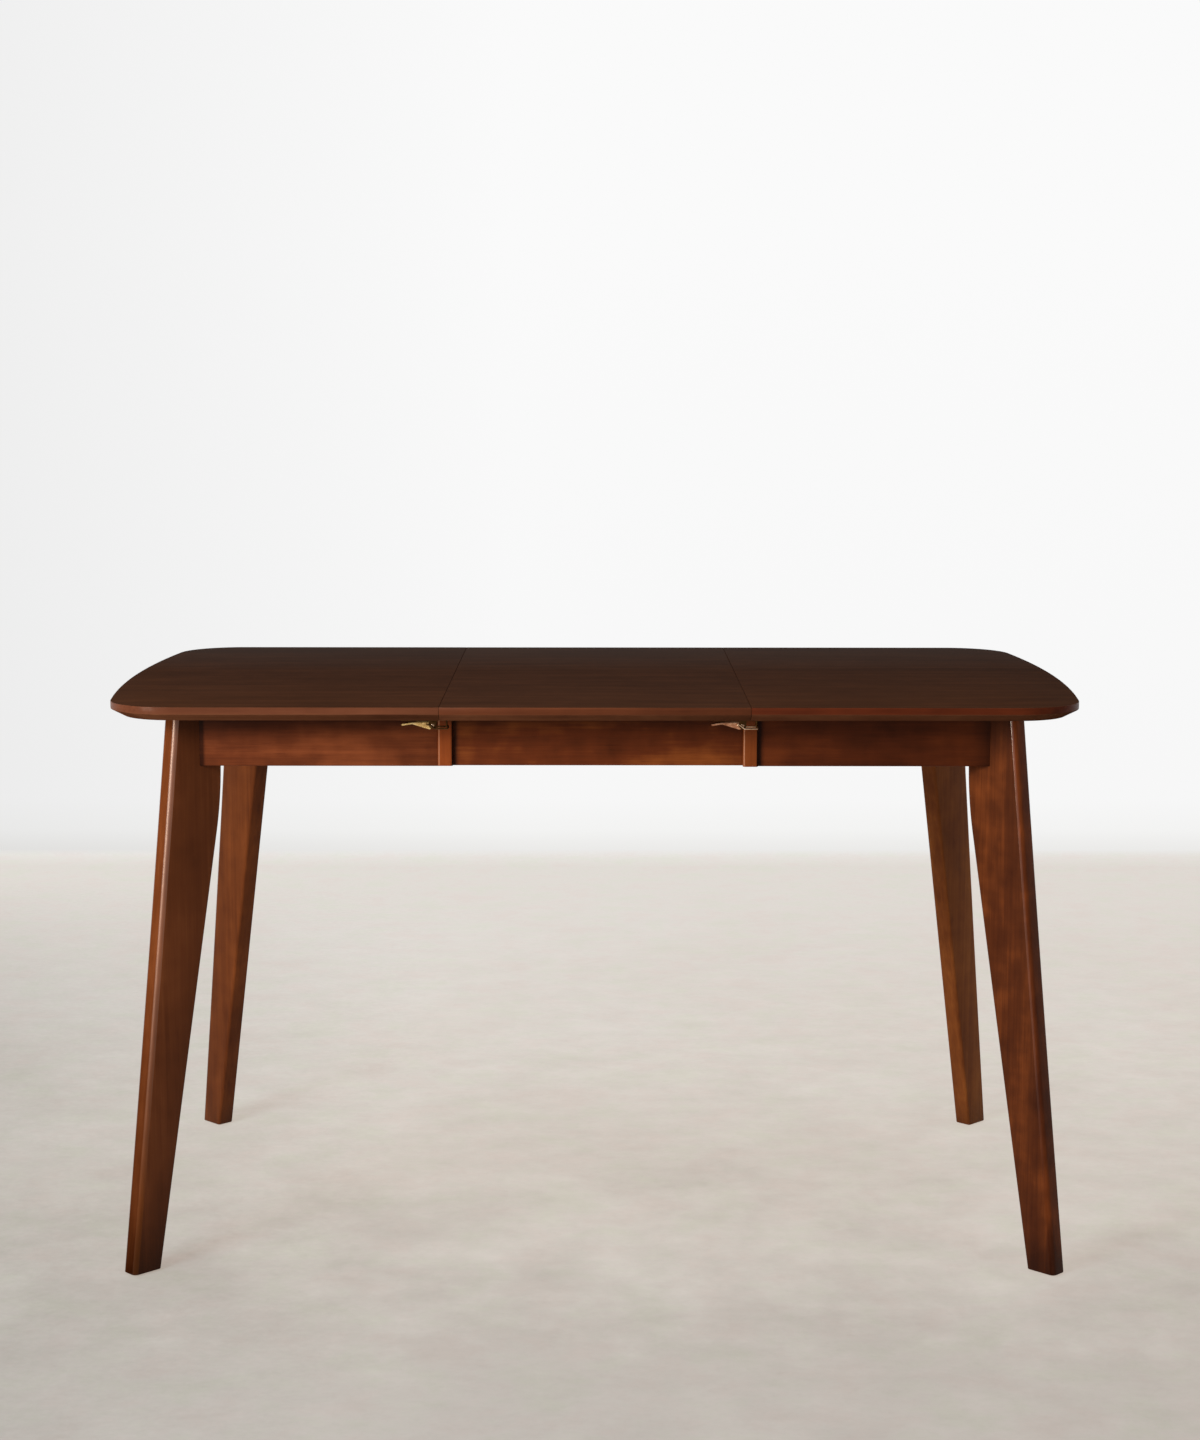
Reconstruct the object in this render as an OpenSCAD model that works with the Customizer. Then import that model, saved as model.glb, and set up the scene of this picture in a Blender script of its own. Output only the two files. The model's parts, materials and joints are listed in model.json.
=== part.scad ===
// Extending dining table with one loose leaf, shown with the leaf in place.
// Millimetres, +Z up. X runs along the length, the front long edge faces -Y.
// The origin is on the floor, under the middle of the table.

/* [Top] */
// Length of each half of the top, from its seam to the middle of its bowed end
half_l = 450; // [420:10:500]
// Width of the loose leaf along the table
leaf_w = 400; // [360:10:440]
// Depth of the top, front to back
top_d = 750; // [700:10:820]
// Height of the top surface above the floor
table_h = 755; // [720:5:775]
// Thickness of the top
top_t = 19; // [17:0.5:24]
// Height of the upright edge face above the under-bevel
edge_h = 9.5; // [7:0.5:12]
// How far the under-bevel runs in from the edge
bevel_w = 18; // [10:1:24]
// Width of the eased upper arris
arris = 1.2; // [0.8:0.1:2]
// Radius of the bowed ends
bow_r = 2600; // [1800:50:4000]
// Radius of the corners of the top
corner_r = 88; // [60:2:110]
// Gap at each seam between a half and the leaf
seam_gap = 0.2; // [0.1:0.1:0.6]

/* [Legs] */
// Distance from the end of the top to the outer edge of a leg at its head
leg_inset_end = 95.5; // [90:0.5:110]
// Distance from the long edge of the top to the outer edge of a leg at its head
leg_inset_side = 68.5; // [62:0.5:80]
// Thickness of the leg board
leg_t = 27; // [22:1:30]
// Width of the leg board at its head
leg_head_w = 73; // [66:1:78]
// Width of the leg board at the floor
leg_foot_w = 43; // [34:1:48]
// How far the outer edge runs out along the diagonal, from head to floor
leg_splay = 78; // [60:1:84]
// Extra outward sweep of the sabre curve at the floor
leg_sabre = 5; // [0:1:8]
// Drop from the head to where the taper meets the straight inner edge
leg_knee_drop = 114; // [100:2:130]
// Radius of the knee that blends the two inner edges
leg_knee_r = 500; // [300:20:600]
// Rounding of the two outer arrises
leg_outer_r = 7; // [3:0.5:9]
// Rounding of the two inner arrises
leg_inner_r = 4; // [2:0.5:6]
// Height of the glide under each foot
glide_h = 2; // [2:0.5:6]
// Radius of the glide
glide_r = 8; // [6:0.5:10]

/* [Aprons] */
// Height of the aprons of the two halves
apron_h = 69; // [60:1:80]
// Height of the aprons of the leaf
leaf_apron_h = 68; // [60:1:80]
// Thickness of the aprons
apron_t = 20; // [16:1:24]
// Step from the outer edge of a leg's head in to the apron face
apron_step = 16; // [12:0.5:18]
// Width of the upright cover strip at each apron seam
strip_w = 20; // [16:1:26]
// How far a strip stands proud of the aprons
strip_t = 6; // [4:0.5:8]
// How far a strip laps past the seam over the neighbouring apron
strip_lap = 6; // [4:0.5:8]
// Thickness of the corner blocks along the diagonal
block_t = 30; // [24:1:36]
// Height of the corner blocks
block_h = 58; // [50:1:60]
// Leg of the triangular glue blocks under the leaf
glue_block = 18; // [12:1:24]
// Length of the glue blocks
glue_block_l = 60; // [40:5:90]

/* [Slides] */
// Length of the two slide beams
beam_l = 610; // [560:10:620]
// Width of a beam
beam_w = 36; // [32:1:42]
// Height of the beams and of the rails
beam_h = 45; // [36:1:50]
// Gap between the outer rails and the corner blocks
rail_clear = 8; // [5:1:20]
// Width of a rail
rail_w = 20; // [18:1:26]
// Length of rail that lies along the beam
rail_overlap = 175; // [150:5:200]
// Height of the neck of the tongue
neck_h = 6; // [5:0.5:8]
// Height of the head of the tongue
head_h = 14; // [12:0.5:18]
// Depth of the neck, and of the head behind it
tongue_d = 4; // [3:0.5:5]
// Travel of each half before its tongues meet the stop pegs
travel = 22; // [18:1:26]
// Diameter of the stop pegs
peg_d = 6; // [5:0.5:7]

/* [Dowels and bolts] */
// Diameter of the locating dowels
dowel_d = 8; // [6:0.5:9]
// Length of dowel that stands out of the edge
dowel_out = 14; // [8:1:16]
// Length of dowel glued into the edge
dowel_in = 16; // [12:1:24]
// Diameter of the leg bolts
bolt_d = 8; // [6:1:10]
// Length of bolt inside the leg
bolt_in_leg = 42; // [30:1:50]
// Length of bolt left past the corner block for its nut
bolt_tail = 12; // [10:1:16]
// Diameter of the wood screws
screw_d = 4; // [3.5:0.5:5]

/* [Catches] */
// Distance from the long edge of the top to the middle of a catch
catch_inset = 37; // [33:1:41]
// Width of the brass plates
plate_w = 24; // [24:0.5:27]
// Thickness of the brass plates
plate_t = 1.5; // [1.2:0.1:1.8]
// Distance from the seam back to the lever pivot
pivot_back = 9.5; // [9:0.5:12]
// Depth of the lever pivot below the top
pivot_drop = 7.5; // [7.5:0.1:9]
// Length of the lever from its pivot to its tip
lever_l = 40; // [34:1:44]
// Width of the lever
lever_w = 12.4; // [11:0.2:12.6]
// Diameter of the pivot pin
pin_d = 3; // [2.5:0.1:3.4]
// Diameter of the bail wire
wire_d = 2; // [1.6:0.1:2.2]
// Distance from the pivot back to the bail's hole in the lever
bail_back = 7.4; // [7:0.1:8.4]
// Height of the bail's hole above the pivot, which makes the lever lock over centre
over_centre = 1; // [0.6:0.1:1.2]
// Distance from the bail's hole to its crosspiece, between wire centres
bail_l = 27; // [25:0.5:29]
// Width of the bail between wire centres
bail_w = 21.2; // [20.8:0.2:22]

/* [Clearances] */
// Play between the slides and their beams
slide_play = 0.3; // [0.2:0.05:0.5]
// Gap over the beams, below the top
beam_drop = 0.5; // [0.3:0.1:1]
// Radial play of pins and wire in their bores
pin_play = 0.06; // [0.03:0.01:0.09]
// Radial play of dowels, bolts and screws in their holes
hole_play = 0.1; // [0.06:0.02:0.2]
// Gap between the bail's crosspiece and the keeper's tab above it
tab_gap = 0.5; // [0.3:0.1:0.8]

/* [Hidden] */

LEFT = -1;
RIGHT = 1;
FRONT = -1;
BACK = 1;
diag = sqrt(2);
bore_fn = 48;
eps = 0.02;

top_wood = "#4a2e22";
edge_wood = "#6b3a24";
leg_wood = "#7a4226";
strip_wood = "#8a4a28";
pale_wood = "#b08a5c";
brass = "#c9a24a";
steel = "#9a9a9a";
felt = "#2a2624";

// Heights
under_z = table_h - top_t;
mid_z = table_h - top_t / 2;

// Plan of the top
tip_x = leaf_w / 2 + half_l;
seam_x = leaf_w / 2;
side_y = top_d / 2;
half_x = seam_x + seam_gap / 2;
leaf_x = seam_x - seam_gap / 2;
bow_steps = 24;
corner_steps = 14;

// Plan of the frame
leg_x = tip_x - leg_inset_end;
leg_y = side_y - leg_inset_side;
apron_x = leg_x - apron_step;
apron_y = leg_y - apron_step;
mitre_back = apron_step + leg_t / diag;

// Corner block, measured in from the leg's outer edge along the diagonal
block_u = leg_head_w;
inner_corner_u = (apron_step + apron_t) * diag;
bolt_zs = [under_z - block_h * 0.28, under_z - block_h * 0.72];
block_screw_z = under_z - block_h / 2;
bolt_l = bolt_in_leg + block_t + bolt_tail;
nut_h = 8;
nut_af = bolt_d * 1.6;
flange_h = 1.6;

// Wood screws: the head's radius and height, and how far one bites into the top or an apron
screw_head_r = screw_d;
screw_head_h = screw_d * 0.55;
wood_over = 7;
screw_bite = top_t - wood_over;
block_screw_edge = 10;
block_screw_v = block_u + block_t - inner_corner_u - block_screw_edge;
block_screw_l = 30;
top_screw_seat = block_h * 0.5;
top_screw_v = 20;
rail_screw_seat = 20;

// Slides
block_reach = (2 * (block_u + block_t) - inner_corner_u) / diag;
beam_y = leg_y - block_reach - rail_clear - rail_w - slide_play - beam_w / 2;
beam_top_z = under_z - beam_drop;
slot_z = under_z - beam_h / 2;
beam_half = beam_l / 2;
peg_inset = 12;
peg_x = beam_half - peg_inset;
peg_depth = tongue_d + slide_play;
rail_in_x = beam_half - rail_overlap;
rail_end_gap = 2;
rail_out_x = apron_x - apron_t - rail_end_gap;
tongue_out_x = peg_x - peg_d / 2 - travel - slide_play;
rail_screw_end = 30;
rail_screw_run = rail_out_x - seam_x - 2 * rail_screw_end;
rail_screw_xs = [for (k = [0, 0.5, 1]) seam_x + rail_screw_end + k * rail_screw_run];

// Dowels
dowel_ys = [-0.76, -0.3, 0.3, 0.76];
dowel_hole_slack = 1.5;

// Catches, measured from the seam and from the underside of the top
catch_y = side_y - catch_inset;
catch_ys = [-catch_y, catch_y];
plate_near = 1.5;
plate_l = lever_l + pivot_back - plate_near;
pin_x = -pivot_back;
pin_z = -pivot_drop;
hub_r = 4;
ear_r = 4.8;
ear_t = 1.8;
ear_gap = 0.2;
ear_in = lever_w / 2 + ear_gap;
ear_out = ear_in + ear_t;
pin_head_r = pin_d * 0.78;
pin_head_h = 0.9;
bail_x = pin_x - bail_back;
bail_z = pin_z + over_centre;
bail_bend_r = 2.5;
cross_x = bail_x + bail_l;
cheek_t = 1.3;
lever_skin = 1.3;
lip_r = 1;
lip_z = 0.2;
heel = [-4.2, -5.6];
tab_t = 1.5;
tab_w = 15;
crank_start = 3.5;
crank_end = 10;
cross_drop = 5;
cross_z = bail_z - cross_drop;
tab_low = cross_z + wire_d / 2 + tab_gap;
keeper_near = 3;
keeper_l = 21;
keeper_w = 20;
small_screw_r = 1.2;
small_head_r = 2.3;
small_head_h = 1.1;
small_screw_l = 12;
small_screw_edge = 3.1;
small_screw_end = 5;
small_screw_step = 20.5;
base_screws = [for (k = [0, 1], y = [-1, 1])
    [small_screw_end - plate_near - plate_l + k * small_screw_step,
        y * (plate_w / 2 - small_screw_edge)]];
keeper_screws = [for (y = [-1, 1])
    [keeper_near + keeper_l - small_screw_end, y * (keeper_w / 2 - small_screw_edge)]];

// Puts a shape drawn in the right-hand back quarter in any other quarter
module place(side, row) {
    mirror([side == LEFT ? 1 : 0, 0, 0])
        mirror([0, row == FRONT ? 1 : 0, 0])
            children();
}

// Turns the leg's own axes, +X out along the diagonal, to the right-hand back corner
module at_leg() {
    translate([leg_x, leg_y, 0])
        rotate([0, 0, 45])
            children();
}

// Lays an upright cylinder along +X from the origin
module along_x() {
    rotate([0, 90, 0])
        children();
}

// Stands a profile drawn in X and Z upright and gives it a width, centred on Y
module across_y(width) {
    translate([0, width / 2, 0])
        rotate([90, 0, 0])
            linear_extrude(width)
                children();
}

// Points of one ring of a half top, inset by e at height z
function half_ring(e, z) =
    let (r = corner_r - e,
         d = side_y - corner_r,
         bow_x = tip_x - bow_r,
         cx = bow_x + sqrt(pow(bow_r - corner_r, 2) - d * d),
         a = asin(d / (bow_r - corner_r)))
    concat(
        [[half_x, -(side_y - e), z]],
        [for (i = [0:corner_steps])
            let (t = -90 + (90 - a) * i / corner_steps)
            [cx + r * cos(t), -d + r * sin(t), z]],
        [for (i = [1:bow_steps - 1])
            let (t = -a + 2 * a * i / bow_steps)
            [bow_x + (bow_r - e) * cos(t), (bow_r - e) * sin(t), z]],
        [for (i = [0:corner_steps])
            let (t = a + (90 - a) * i / corner_steps)
            [cx + r * cos(t), d + r * sin(t), z]],
        [[half_x, side_y - e, z]]);

// Joins rings of equal length into one closed solid, lowest ring first
module loft(rings) {
    n = len(rings[0]);
    m = len(rings);
    polyhedron(
        points = [for (ring = rings) each ring],
        faces = concat(
            [[for (i = [0:n - 1]) i]],
            [for (j = [0:m - 2], i = [0:n - 1])
                [j * n + i, (j + 1) * n + i, (j + 1) * n + (i + 1) % n, j * n + (i + 1) % n]],
            [[for (i = [n - 1:-1:0]) (m - 1) * n + i]]),
        convexity = 4);
}

module half_board() {
    loft([
        half_ring(bevel_w, under_z),
        half_ring(0, table_h - edge_h),
        half_ring(0, table_h - arris),
        half_ring(arris * 0.3, table_h - arris * 0.3),
        half_ring(arris, table_h)]);
}

// Section of the leaf across the table, the same edge as on the halves
module leaf_section() {
    half = [
        [side_y - bevel_w, under_z],
        [side_y, table_h - edge_h],
        [side_y, table_h - arris],
        [side_y - arris * 0.3, table_h - arris * 0.3],
        [side_y - arris, table_h]];
    polygon(concat(half, [for (i = [len(half) - 1:-1:0]) [-half[i][0], half[i][1]]]));
}

// Dowels standing out of a seam face towards +X, with their seam at x = 0
module dowel_row() {
    chamfer = 1;
    for (k = dowel_ys)
        translate([-dowel_in, k * side_y, mid_z])
            along_x()
                rotate_extrude($fn = bore_fn)
                    polygon([
                        [0, 0], [dowel_d / 2, 0], [dowel_d / 2, dowel_in + dowel_out - chamfer],
                        [dowel_d / 2 - chamfer, dowel_in + dowel_out], [0, dowel_in + dowel_out]]);
}

// Holes of one depth for those dowels, running along +X from x = 0
module dowel_holes(depth) {
    for (k = dowel_ys)
        translate([-eps, k * side_y, mid_z])
            along_x()
                cylinder(r = dowel_d / 2 + hole_play, h = depth + eps, $fn = bore_fn);
}

// A wood screw from its countersunk head at z = 0 up to its point
module screw(r, head_r, head_h, l) {
    point = r * 1.6;
    rotate_extrude($fn = 24)
        polygon([[0, 0], [head_r, 0], [r, head_h], [r, l - point], [r * 0.35, l], [0, l]]);
}

// The hole for such a screw, a little larger all over
module screw_hole(r, head_r, head_h, l) {
    rotate_extrude($fn = 24)
        polygon([
            [0, -eps], [head_r + hole_play, -eps], [head_r + hole_play, 0],
            [r + hole_play, head_h], [r + hole_play, l + 1], [0, l + 1]]);
}

// A hole right through a piece, counterbored from below up to the screw's seat
module sunk_screw_hole(seat, height) {
    translate([0, 0, -1])
        cylinder(r = screw_head_r + hole_play, h = seat + 1, $fn = 24);
    translate([0, 0, seat])
        screw_hole(screw_d / 2, screw_head_r, screw_head_h, height - seat);
}

// Pilot holes up into the underside of the top
module pilot(r, depth) {
    translate([0, 0, under_z - eps])
        cylinder(r = r + hole_play, h = depth + eps, $fn = 24);
}

// Centres of the rail screws of one half, in the right-hand half
rail_offset = beam_w / 2 + slide_play + rail_w / 2;
function rail_ys(side) = [for (row = [FRONT, BACK]) row * (beam_y - side * rail_offset)];

module half_top(side) {
    difference() {
        mirror([side == LEFT ? 1 : 0, 0, 0])
            half_board();
        for (y = rail_ys(side), x = rail_screw_xs)
            translate([side * x, y, 0])
                pilot(screw_d / 2, screw_bite + 1);
        for (row = [FRONT, BACK])
            place(side, row)
                at_leg()
                    translate([-block_u - block_t / 2, top_screw_v, 0])
                        pilot(screw_d / 2, screw_bite + 1);
        for (y = catch_ys, p = side == LEFT ? base_screws : keeper_screws)
            translate([side * seam_x + p[0], y + p[1], 0])
                pilot(small_screw_r, small_screw_l);
        if (side == LEFT)
            translate([-half_x, 0, 0])
                mirror([1, 0, 0])
                    dowel_holes(dowel_in + seam_gap);
        else
            translate([half_x, 0, 0])
                dowel_holes(dowel_out + dowel_hole_slack);
    }
}

module left_top() {
    color(top_wood)
        half_top(LEFT);
}

module right_top() {
    color(top_wood)
        half_top(RIGHT);
}

module leaf_top() {
    color(top_wood)
        difference() {
            translate([-leaf_x, 0, 0])
                rotate([90, 0, 90])
                    linear_extrude(2 * leaf_x)
                        leaf_section();
            translate([-leaf_x, 0, 0])
                dowel_holes(dowel_out + dowel_hole_slack);
            translate([leaf_x, 0, 0])
                mirror([1, 0, 0])
                    dowel_holes(dowel_in + seam_gap);
            for (y = catch_ys, p = base_screws)
                translate([seam_x + p[0], y + p[1], 0])
                    pilot(small_screw_r, small_screw_l);
            for (y = catch_ys, p = keeper_screws)
                translate([-seam_x + p[0], y + p[1], 0])
                    pilot(small_screw_r, small_screw_l);
        }
}

module left_dowels() {
    color(pale_wood)
        translate([-half_x, 0, 0])
            dowel_row();
}

module leaf_dowels() {
    color(pale_wood)
        translate([leaf_x, 0, 0])
            dowel_row();
}

// A long apron of one half, mitred against the wide face of the leg
module side_apron() {
    difference() {
        translate([0, 0, under_z - apron_h])
            linear_extrude(apron_h)
                polygon([
                    [half_x, apron_y], [half_x, apron_y - apron_t],
                    [leg_x - mitre_back - apron_t, apron_y - apron_t],
                    [leg_x - mitre_back, apron_y]]);
        corner_screw_holes();
    }
}

module end_apron() {
    difference() {
        translate([0, 0, under_z - apron_h])
            linear_extrude(apron_h)
                for (row = [FRONT, BACK])
                    polygon([
                        [apron_x, 0], [apron_x - apron_t, 0],
                        [apron_x - apron_t, row * (leg_y - mitre_back - apron_t)],
                        [apron_x, row * (leg_y - mitre_back)]]);
        for (row = [FRONT, BACK])
            place(RIGHT, row)
                corner_screw_holes();
    }
}

module half_apron(side, row) {
    color(edge_wood)
        place(side, row)
            side_apron();
}

module left_apron_front() { half_apron(LEFT, FRONT); }
module left_apron_back() { half_apron(LEFT, BACK); }
module right_apron_front() { half_apron(RIGHT, FRONT); }
module right_apron_back() { half_apron(RIGHT, BACK); }

module left_end_apron() {
    color(edge_wood)
        place(LEFT, BACK)
            end_apron();
}

module right_end_apron() {
    color(edge_wood)
        end_apron();
}

module leaf_apron(row) {
    color(edge_wood)
        translate([-leaf_x, row * (apron_y - apron_t / 2) - apron_t / 2, under_z - leaf_apron_h])
            cube([2 * leaf_x, apron_t, leaf_apron_h]);
}

module leaf_apron_front() { leaf_apron(FRONT); }
module leaf_apron_back() { leaf_apron(BACK); }

// A cover strip fixed at the left end of an apron, with its lip past the seam
module strip(seam, carrier_x, height) {
    relief = 0.3;
    round_r = strip_t * 0.6;
    color(strip_wood)
        translate([seam - strip_lap, -apron_y - strip_t, under_z - height])
            linear_extrude(height)
                difference() {
                    intersection() {
                        square([strip_w, strip_t]);
                        union() {
                            translate([0, round_r])
                                square([strip_w, strip_t]);
                            translate([round_r, 0])
                                square([strip_w - 2 * round_r, strip_t]);
                            for (x = [round_r, strip_w - round_r])
                                translate([x, round_r])
                                    circle(r = round_r, $fn = 48);
                        }
                    }
                    translate([-eps, strip_t - relief])
                        square([carrier_x - seam + strip_lap + eps, relief + eps]);
                }
}

module leaf_strip_front() { strip(-seam_x, -leaf_x, leaf_apron_h); }
module right_strip_front() { strip(seam_x, half_x, apron_h); }

module leaf_strip_back() {
    mirror([0, 1, 0])
        leaf_strip_front();
}

module right_strip_back() {
    mirror([0, 1, 0])
        right_strip_front();
}

// Triangular blocks glued in the inner corner between the leaf and its aprons
module leaf_glue_blocks() {
    color(pale_wood)
        for (row = [FRONT, BACK], x = [-0.5, 0.5])
            place(RIGHT, row)
                translate([x * leaf_x - glue_block_l / 2, apron_y - apron_t, under_z])
                    rotate([90, 0, 90])
                        linear_extrude(glue_block_l)
                            polygon([[0, 0], [-glue_block, 0], [0, -glue_block]]);
}

// Outer and inner edge of the leg board at height z, out along the diagonal
function leg_fall(z) = (under_z - z) / under_z;
function leg_out(z) = leg_splay * leg_fall(z) + leg_sabre * pow(leg_fall(z), 2);
knee_z = under_z - leg_knee_drop;
foot_in = leg_out(0) - leg_foot_w;
taper = (foot_in + leg_head_w) / knee_z;
knee_t = leg_knee_r * tan(atan(taper) / 2);
knee_top = knee_z + knee_t;
knee_low = knee_z - knee_t * cos(atan(taper));
function leg_in(z) =
    z >= knee_top ? -leg_head_w :
    z <= knee_low ? foot_in - taper * z :
    -leg_head_w + leg_knee_r - sqrt(pow(leg_knee_r, 2) - pow(knee_top - z, 2));

// One level section of the leg board, with rounded arrises
function leg_ring(z) =
    let (steps = 5,
         h = leg_t / 2,
         corners = [
             [leg_out(z) - leg_outer_r, h - leg_outer_r, leg_outer_r, 0],
             [leg_in(z) + leg_inner_r, h - leg_inner_r, leg_inner_r, 90],
             [leg_in(z) + leg_inner_r, -h + leg_inner_r, leg_inner_r, 180],
             [leg_out(z) - leg_outer_r, -h + leg_outer_r, leg_outer_r, 270]])
    [for (c = corners, i = [0:steps])
        let (t = c[3] + 90 * i / steps)
        [c[0] + c[2] * cos(t), c[1] + c[2] * sin(t), z]];

leg_levels = concat(
    [for (i = [0:9]) glide_h + (knee_low - glide_h) * i / 10],
    [for (i = [0:6]) knee_low + (knee_top - knee_low) * i / 6],
    [for (i = [1:2]) knee_top + (under_z - knee_top) * i / 2]);
glide_u = leg_out(0) - leg_foot_w / 2;
glide_nail_r = 1.2;
glide_nail_l = 12;

module leg(side, row) {
    color(leg_wood)
        place(side, row)
            at_leg()
                difference() {
                    loft([for (z = leg_levels) leg_ring(z)]);
                    for (z = bolt_zs)
                        translate([-leg_head_w - 1, 0, z])
                            along_x()
                                cylinder(r = bolt_d / 2 + hole_play, h = bolt_in_leg + 2,
                                    $fn = bore_fn);
                    translate([glide_u, 0, glide_h - 1])
                        cylinder(r = glide_nail_r + hole_play, h = glide_nail_l + 2, $fn = 24);
                }
}

module left_leg_front() { leg(LEFT, FRONT); }
module left_leg_back() { leg(LEFT, BACK); }
module right_leg_front() { leg(RIGHT, FRONT); }
module right_leg_back() { leg(RIGHT, BACK); }

// A corner block across the inside of a corner, screwed to both aprons and to the top
module block() {
    u0 = block_u;
    u1 = block_u + block_t;
    difference() {
        at_leg()
            translate([0, 0, under_z - block_h])
                linear_extrude(block_h)
                    polygon([
                        [-u0, u0 - inner_corner_u], [-u0, inner_corner_u - u0],
                        [-u1, inner_corner_u - u1], [-u1, u1 - inner_corner_u]]);
        at_leg()
            for (z = bolt_zs)
                translate([-u1 - 1, 0, z])
                    along_x()
                        cylinder(r = bolt_d / 2 + hole_play, h = block_t + 2, $fn = bore_fn);
        at_leg()
            translate([-u0 - block_t / 2, top_screw_v, under_z - block_h])
                sunk_screw_hole(top_screw_seat, block_h);
        corner_screw_holes();
    }
}

// Screws through the thin ends of a corner block, square to its face, into the aprons
module at_corner_screws() {
    at_leg()
        for (v = [-block_screw_v, block_screw_v])
            translate([-block_u - block_t, v, block_screw_z])
                along_x()
                    children();
}

module corner_screw_holes() {
    at_corner_screws()
        screw_hole(screw_d / 2, screw_head_r, screw_head_h, block_screw_l);
}

module corner_screws() {
    at_corner_screws()
        screw(screw_d / 2, screw_head_r, screw_head_h, block_screw_l);
    at_leg()
        translate([-block_u - block_t / 2, top_screw_v, under_z - block_h + top_screw_seat])
            screw(screw_d / 2, screw_head_r, screw_head_h, block_h - top_screw_seat + screw_bite);
}

module corner_block(side, row) {
    color(pale_wood)
        place(side, row)
            block();
}

module left_block_front() { corner_block(LEFT, FRONT); }
module left_block_back() { corner_block(LEFT, BACK); }
module right_block_front() { corner_block(RIGHT, FRONT); }
module right_block_back() { corner_block(RIGHT, BACK); }

module block_screws(side) {
    color(steel)
        for (row = [FRONT, BACK])
            place(side, row)
                corner_screws();
}

module left_block_screws() { block_screws(LEFT); }
module right_block_screws() { block_screws(RIGHT); }

module leg_bolts(side) {
    tip = 1;
    color(steel)
        for (row = [FRONT, BACK], z = bolt_zs)
            place(side, row)
                at_leg()
                    translate([-leg_head_w + bolt_in_leg, 0, z])
                        rotate([0, -90, 0])
                            rotate_extrude($fn = bore_fn)
                                polygon([
                                    [0, 0], [bolt_d / 2 - tip, 0], [bolt_d / 2, tip],
                                    [bolt_d / 2, bolt_l - tip], [bolt_d / 2 - tip, bolt_l],
                                    [0, bolt_l]]);
}

module left_leg_bolts() { leg_bolts(LEFT); }
module right_leg_bolts() { leg_bolts(RIGHT); }

// Flanged nuts drawn up against the corner blocks
module leg_nuts(side) {
    color(steel)
        for (row = [FRONT, BACK], z = bolt_zs)
            place(side, row)
                at_leg()
                    translate([-block_u - block_t, 0, z])
                        rotate([0, -90, 0])
                            difference() {
                                union() {
                                    cylinder(d = nut_af / cos(30), h = nut_h, $fn = 6);
                                    cylinder(d = nut_af * 1.45, h = flange_h, $fn = bore_fn);
                                }
                                translate([0, 0, -1])
                                    cylinder(r = bolt_d / 2 + hole_play, h = nut_h + 2,
                                        $fn = bore_fn);
                            }
}

module left_leg_nuts() { leg_nuts(LEFT); }
module right_leg_nuts() { leg_nuts(RIGHT); }

// Nail-on glides under the two feet of one half
module glides(side) {
    ease = 1;
    color(felt)
        for (row = [FRONT, BACK])
            place(side, row)
                at_leg()
                    translate([glide_u, 0, 0])
                        rotate_extrude($fn = bore_fn)
                            polygon([
                                [0, 0], [glide_r - ease, 0], [glide_r, ease], [glide_r, glide_h],
                                [glide_nail_r, glide_h], [glide_nail_r, glide_h + glide_nail_l],
                                [0, glide_h + glide_nail_l]]);
}

module left_glides() { glides(LEFT); }
module right_glides() { glides(RIGHT); }

// Section of a T-slot or of the tongue in it, opening at y = 0 and running into +Y
module tee(play) {
    translate([-play, -neck_h / 2 - play])
        square([tongue_d + 2 * play, neck_h + 2 * play]);
    translate([tongue_d - play, -head_h / 2 - play])
        square([tongue_d + 2 * play, head_h + 2 * play]);
}

// A beam with a slot in each side and a peg hole across each slot, in the back row
module beam() {
    difference() {
        translate([-beam_half, beam_y - beam_w / 2, beam_top_z - beam_h + beam_drop])
            cube([beam_l, beam_w, beam_h - beam_drop]);
        for (side = [LEFT, RIGHT])
            translate([-beam_half - 1, beam_y - side * beam_w / 2, slot_z])
                rotate([90, 0, 90])
                    linear_extrude(beam_l + 2)
                        mirror([side == LEFT ? 1 : 0, 0])
                            tee(slide_play);
        for (side = [LEFT, RIGHT])
            at_peg(side)
                translate([0, 0, -1])
                    cylinder(r = peg_d / 2 + pin_play, h = beam_h + 2, $fn = bore_fn);
    }
}

module at_peg(side) {
    translate([side * peg_x, beam_y - side * (beam_w / 2 - peg_depth), under_z - beam_h])
        children();
}

module slide_beam_back() {
    color(pale_wood)
        beam();
}

module slide_beam_front() {
    mirror([0, 1, 0])
        slide_beam_back();
}

module slide_stop_pegs() {
    color(steel)
        for (side = [LEFT, RIGHT], row = [FRONT, BACK])
            mirror([0, row == FRONT ? 1 : 0, 0])
                at_peg(side)
                    cylinder(d = peg_d, h = beam_h - beam_drop, $fn = bore_fn);
}

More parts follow.
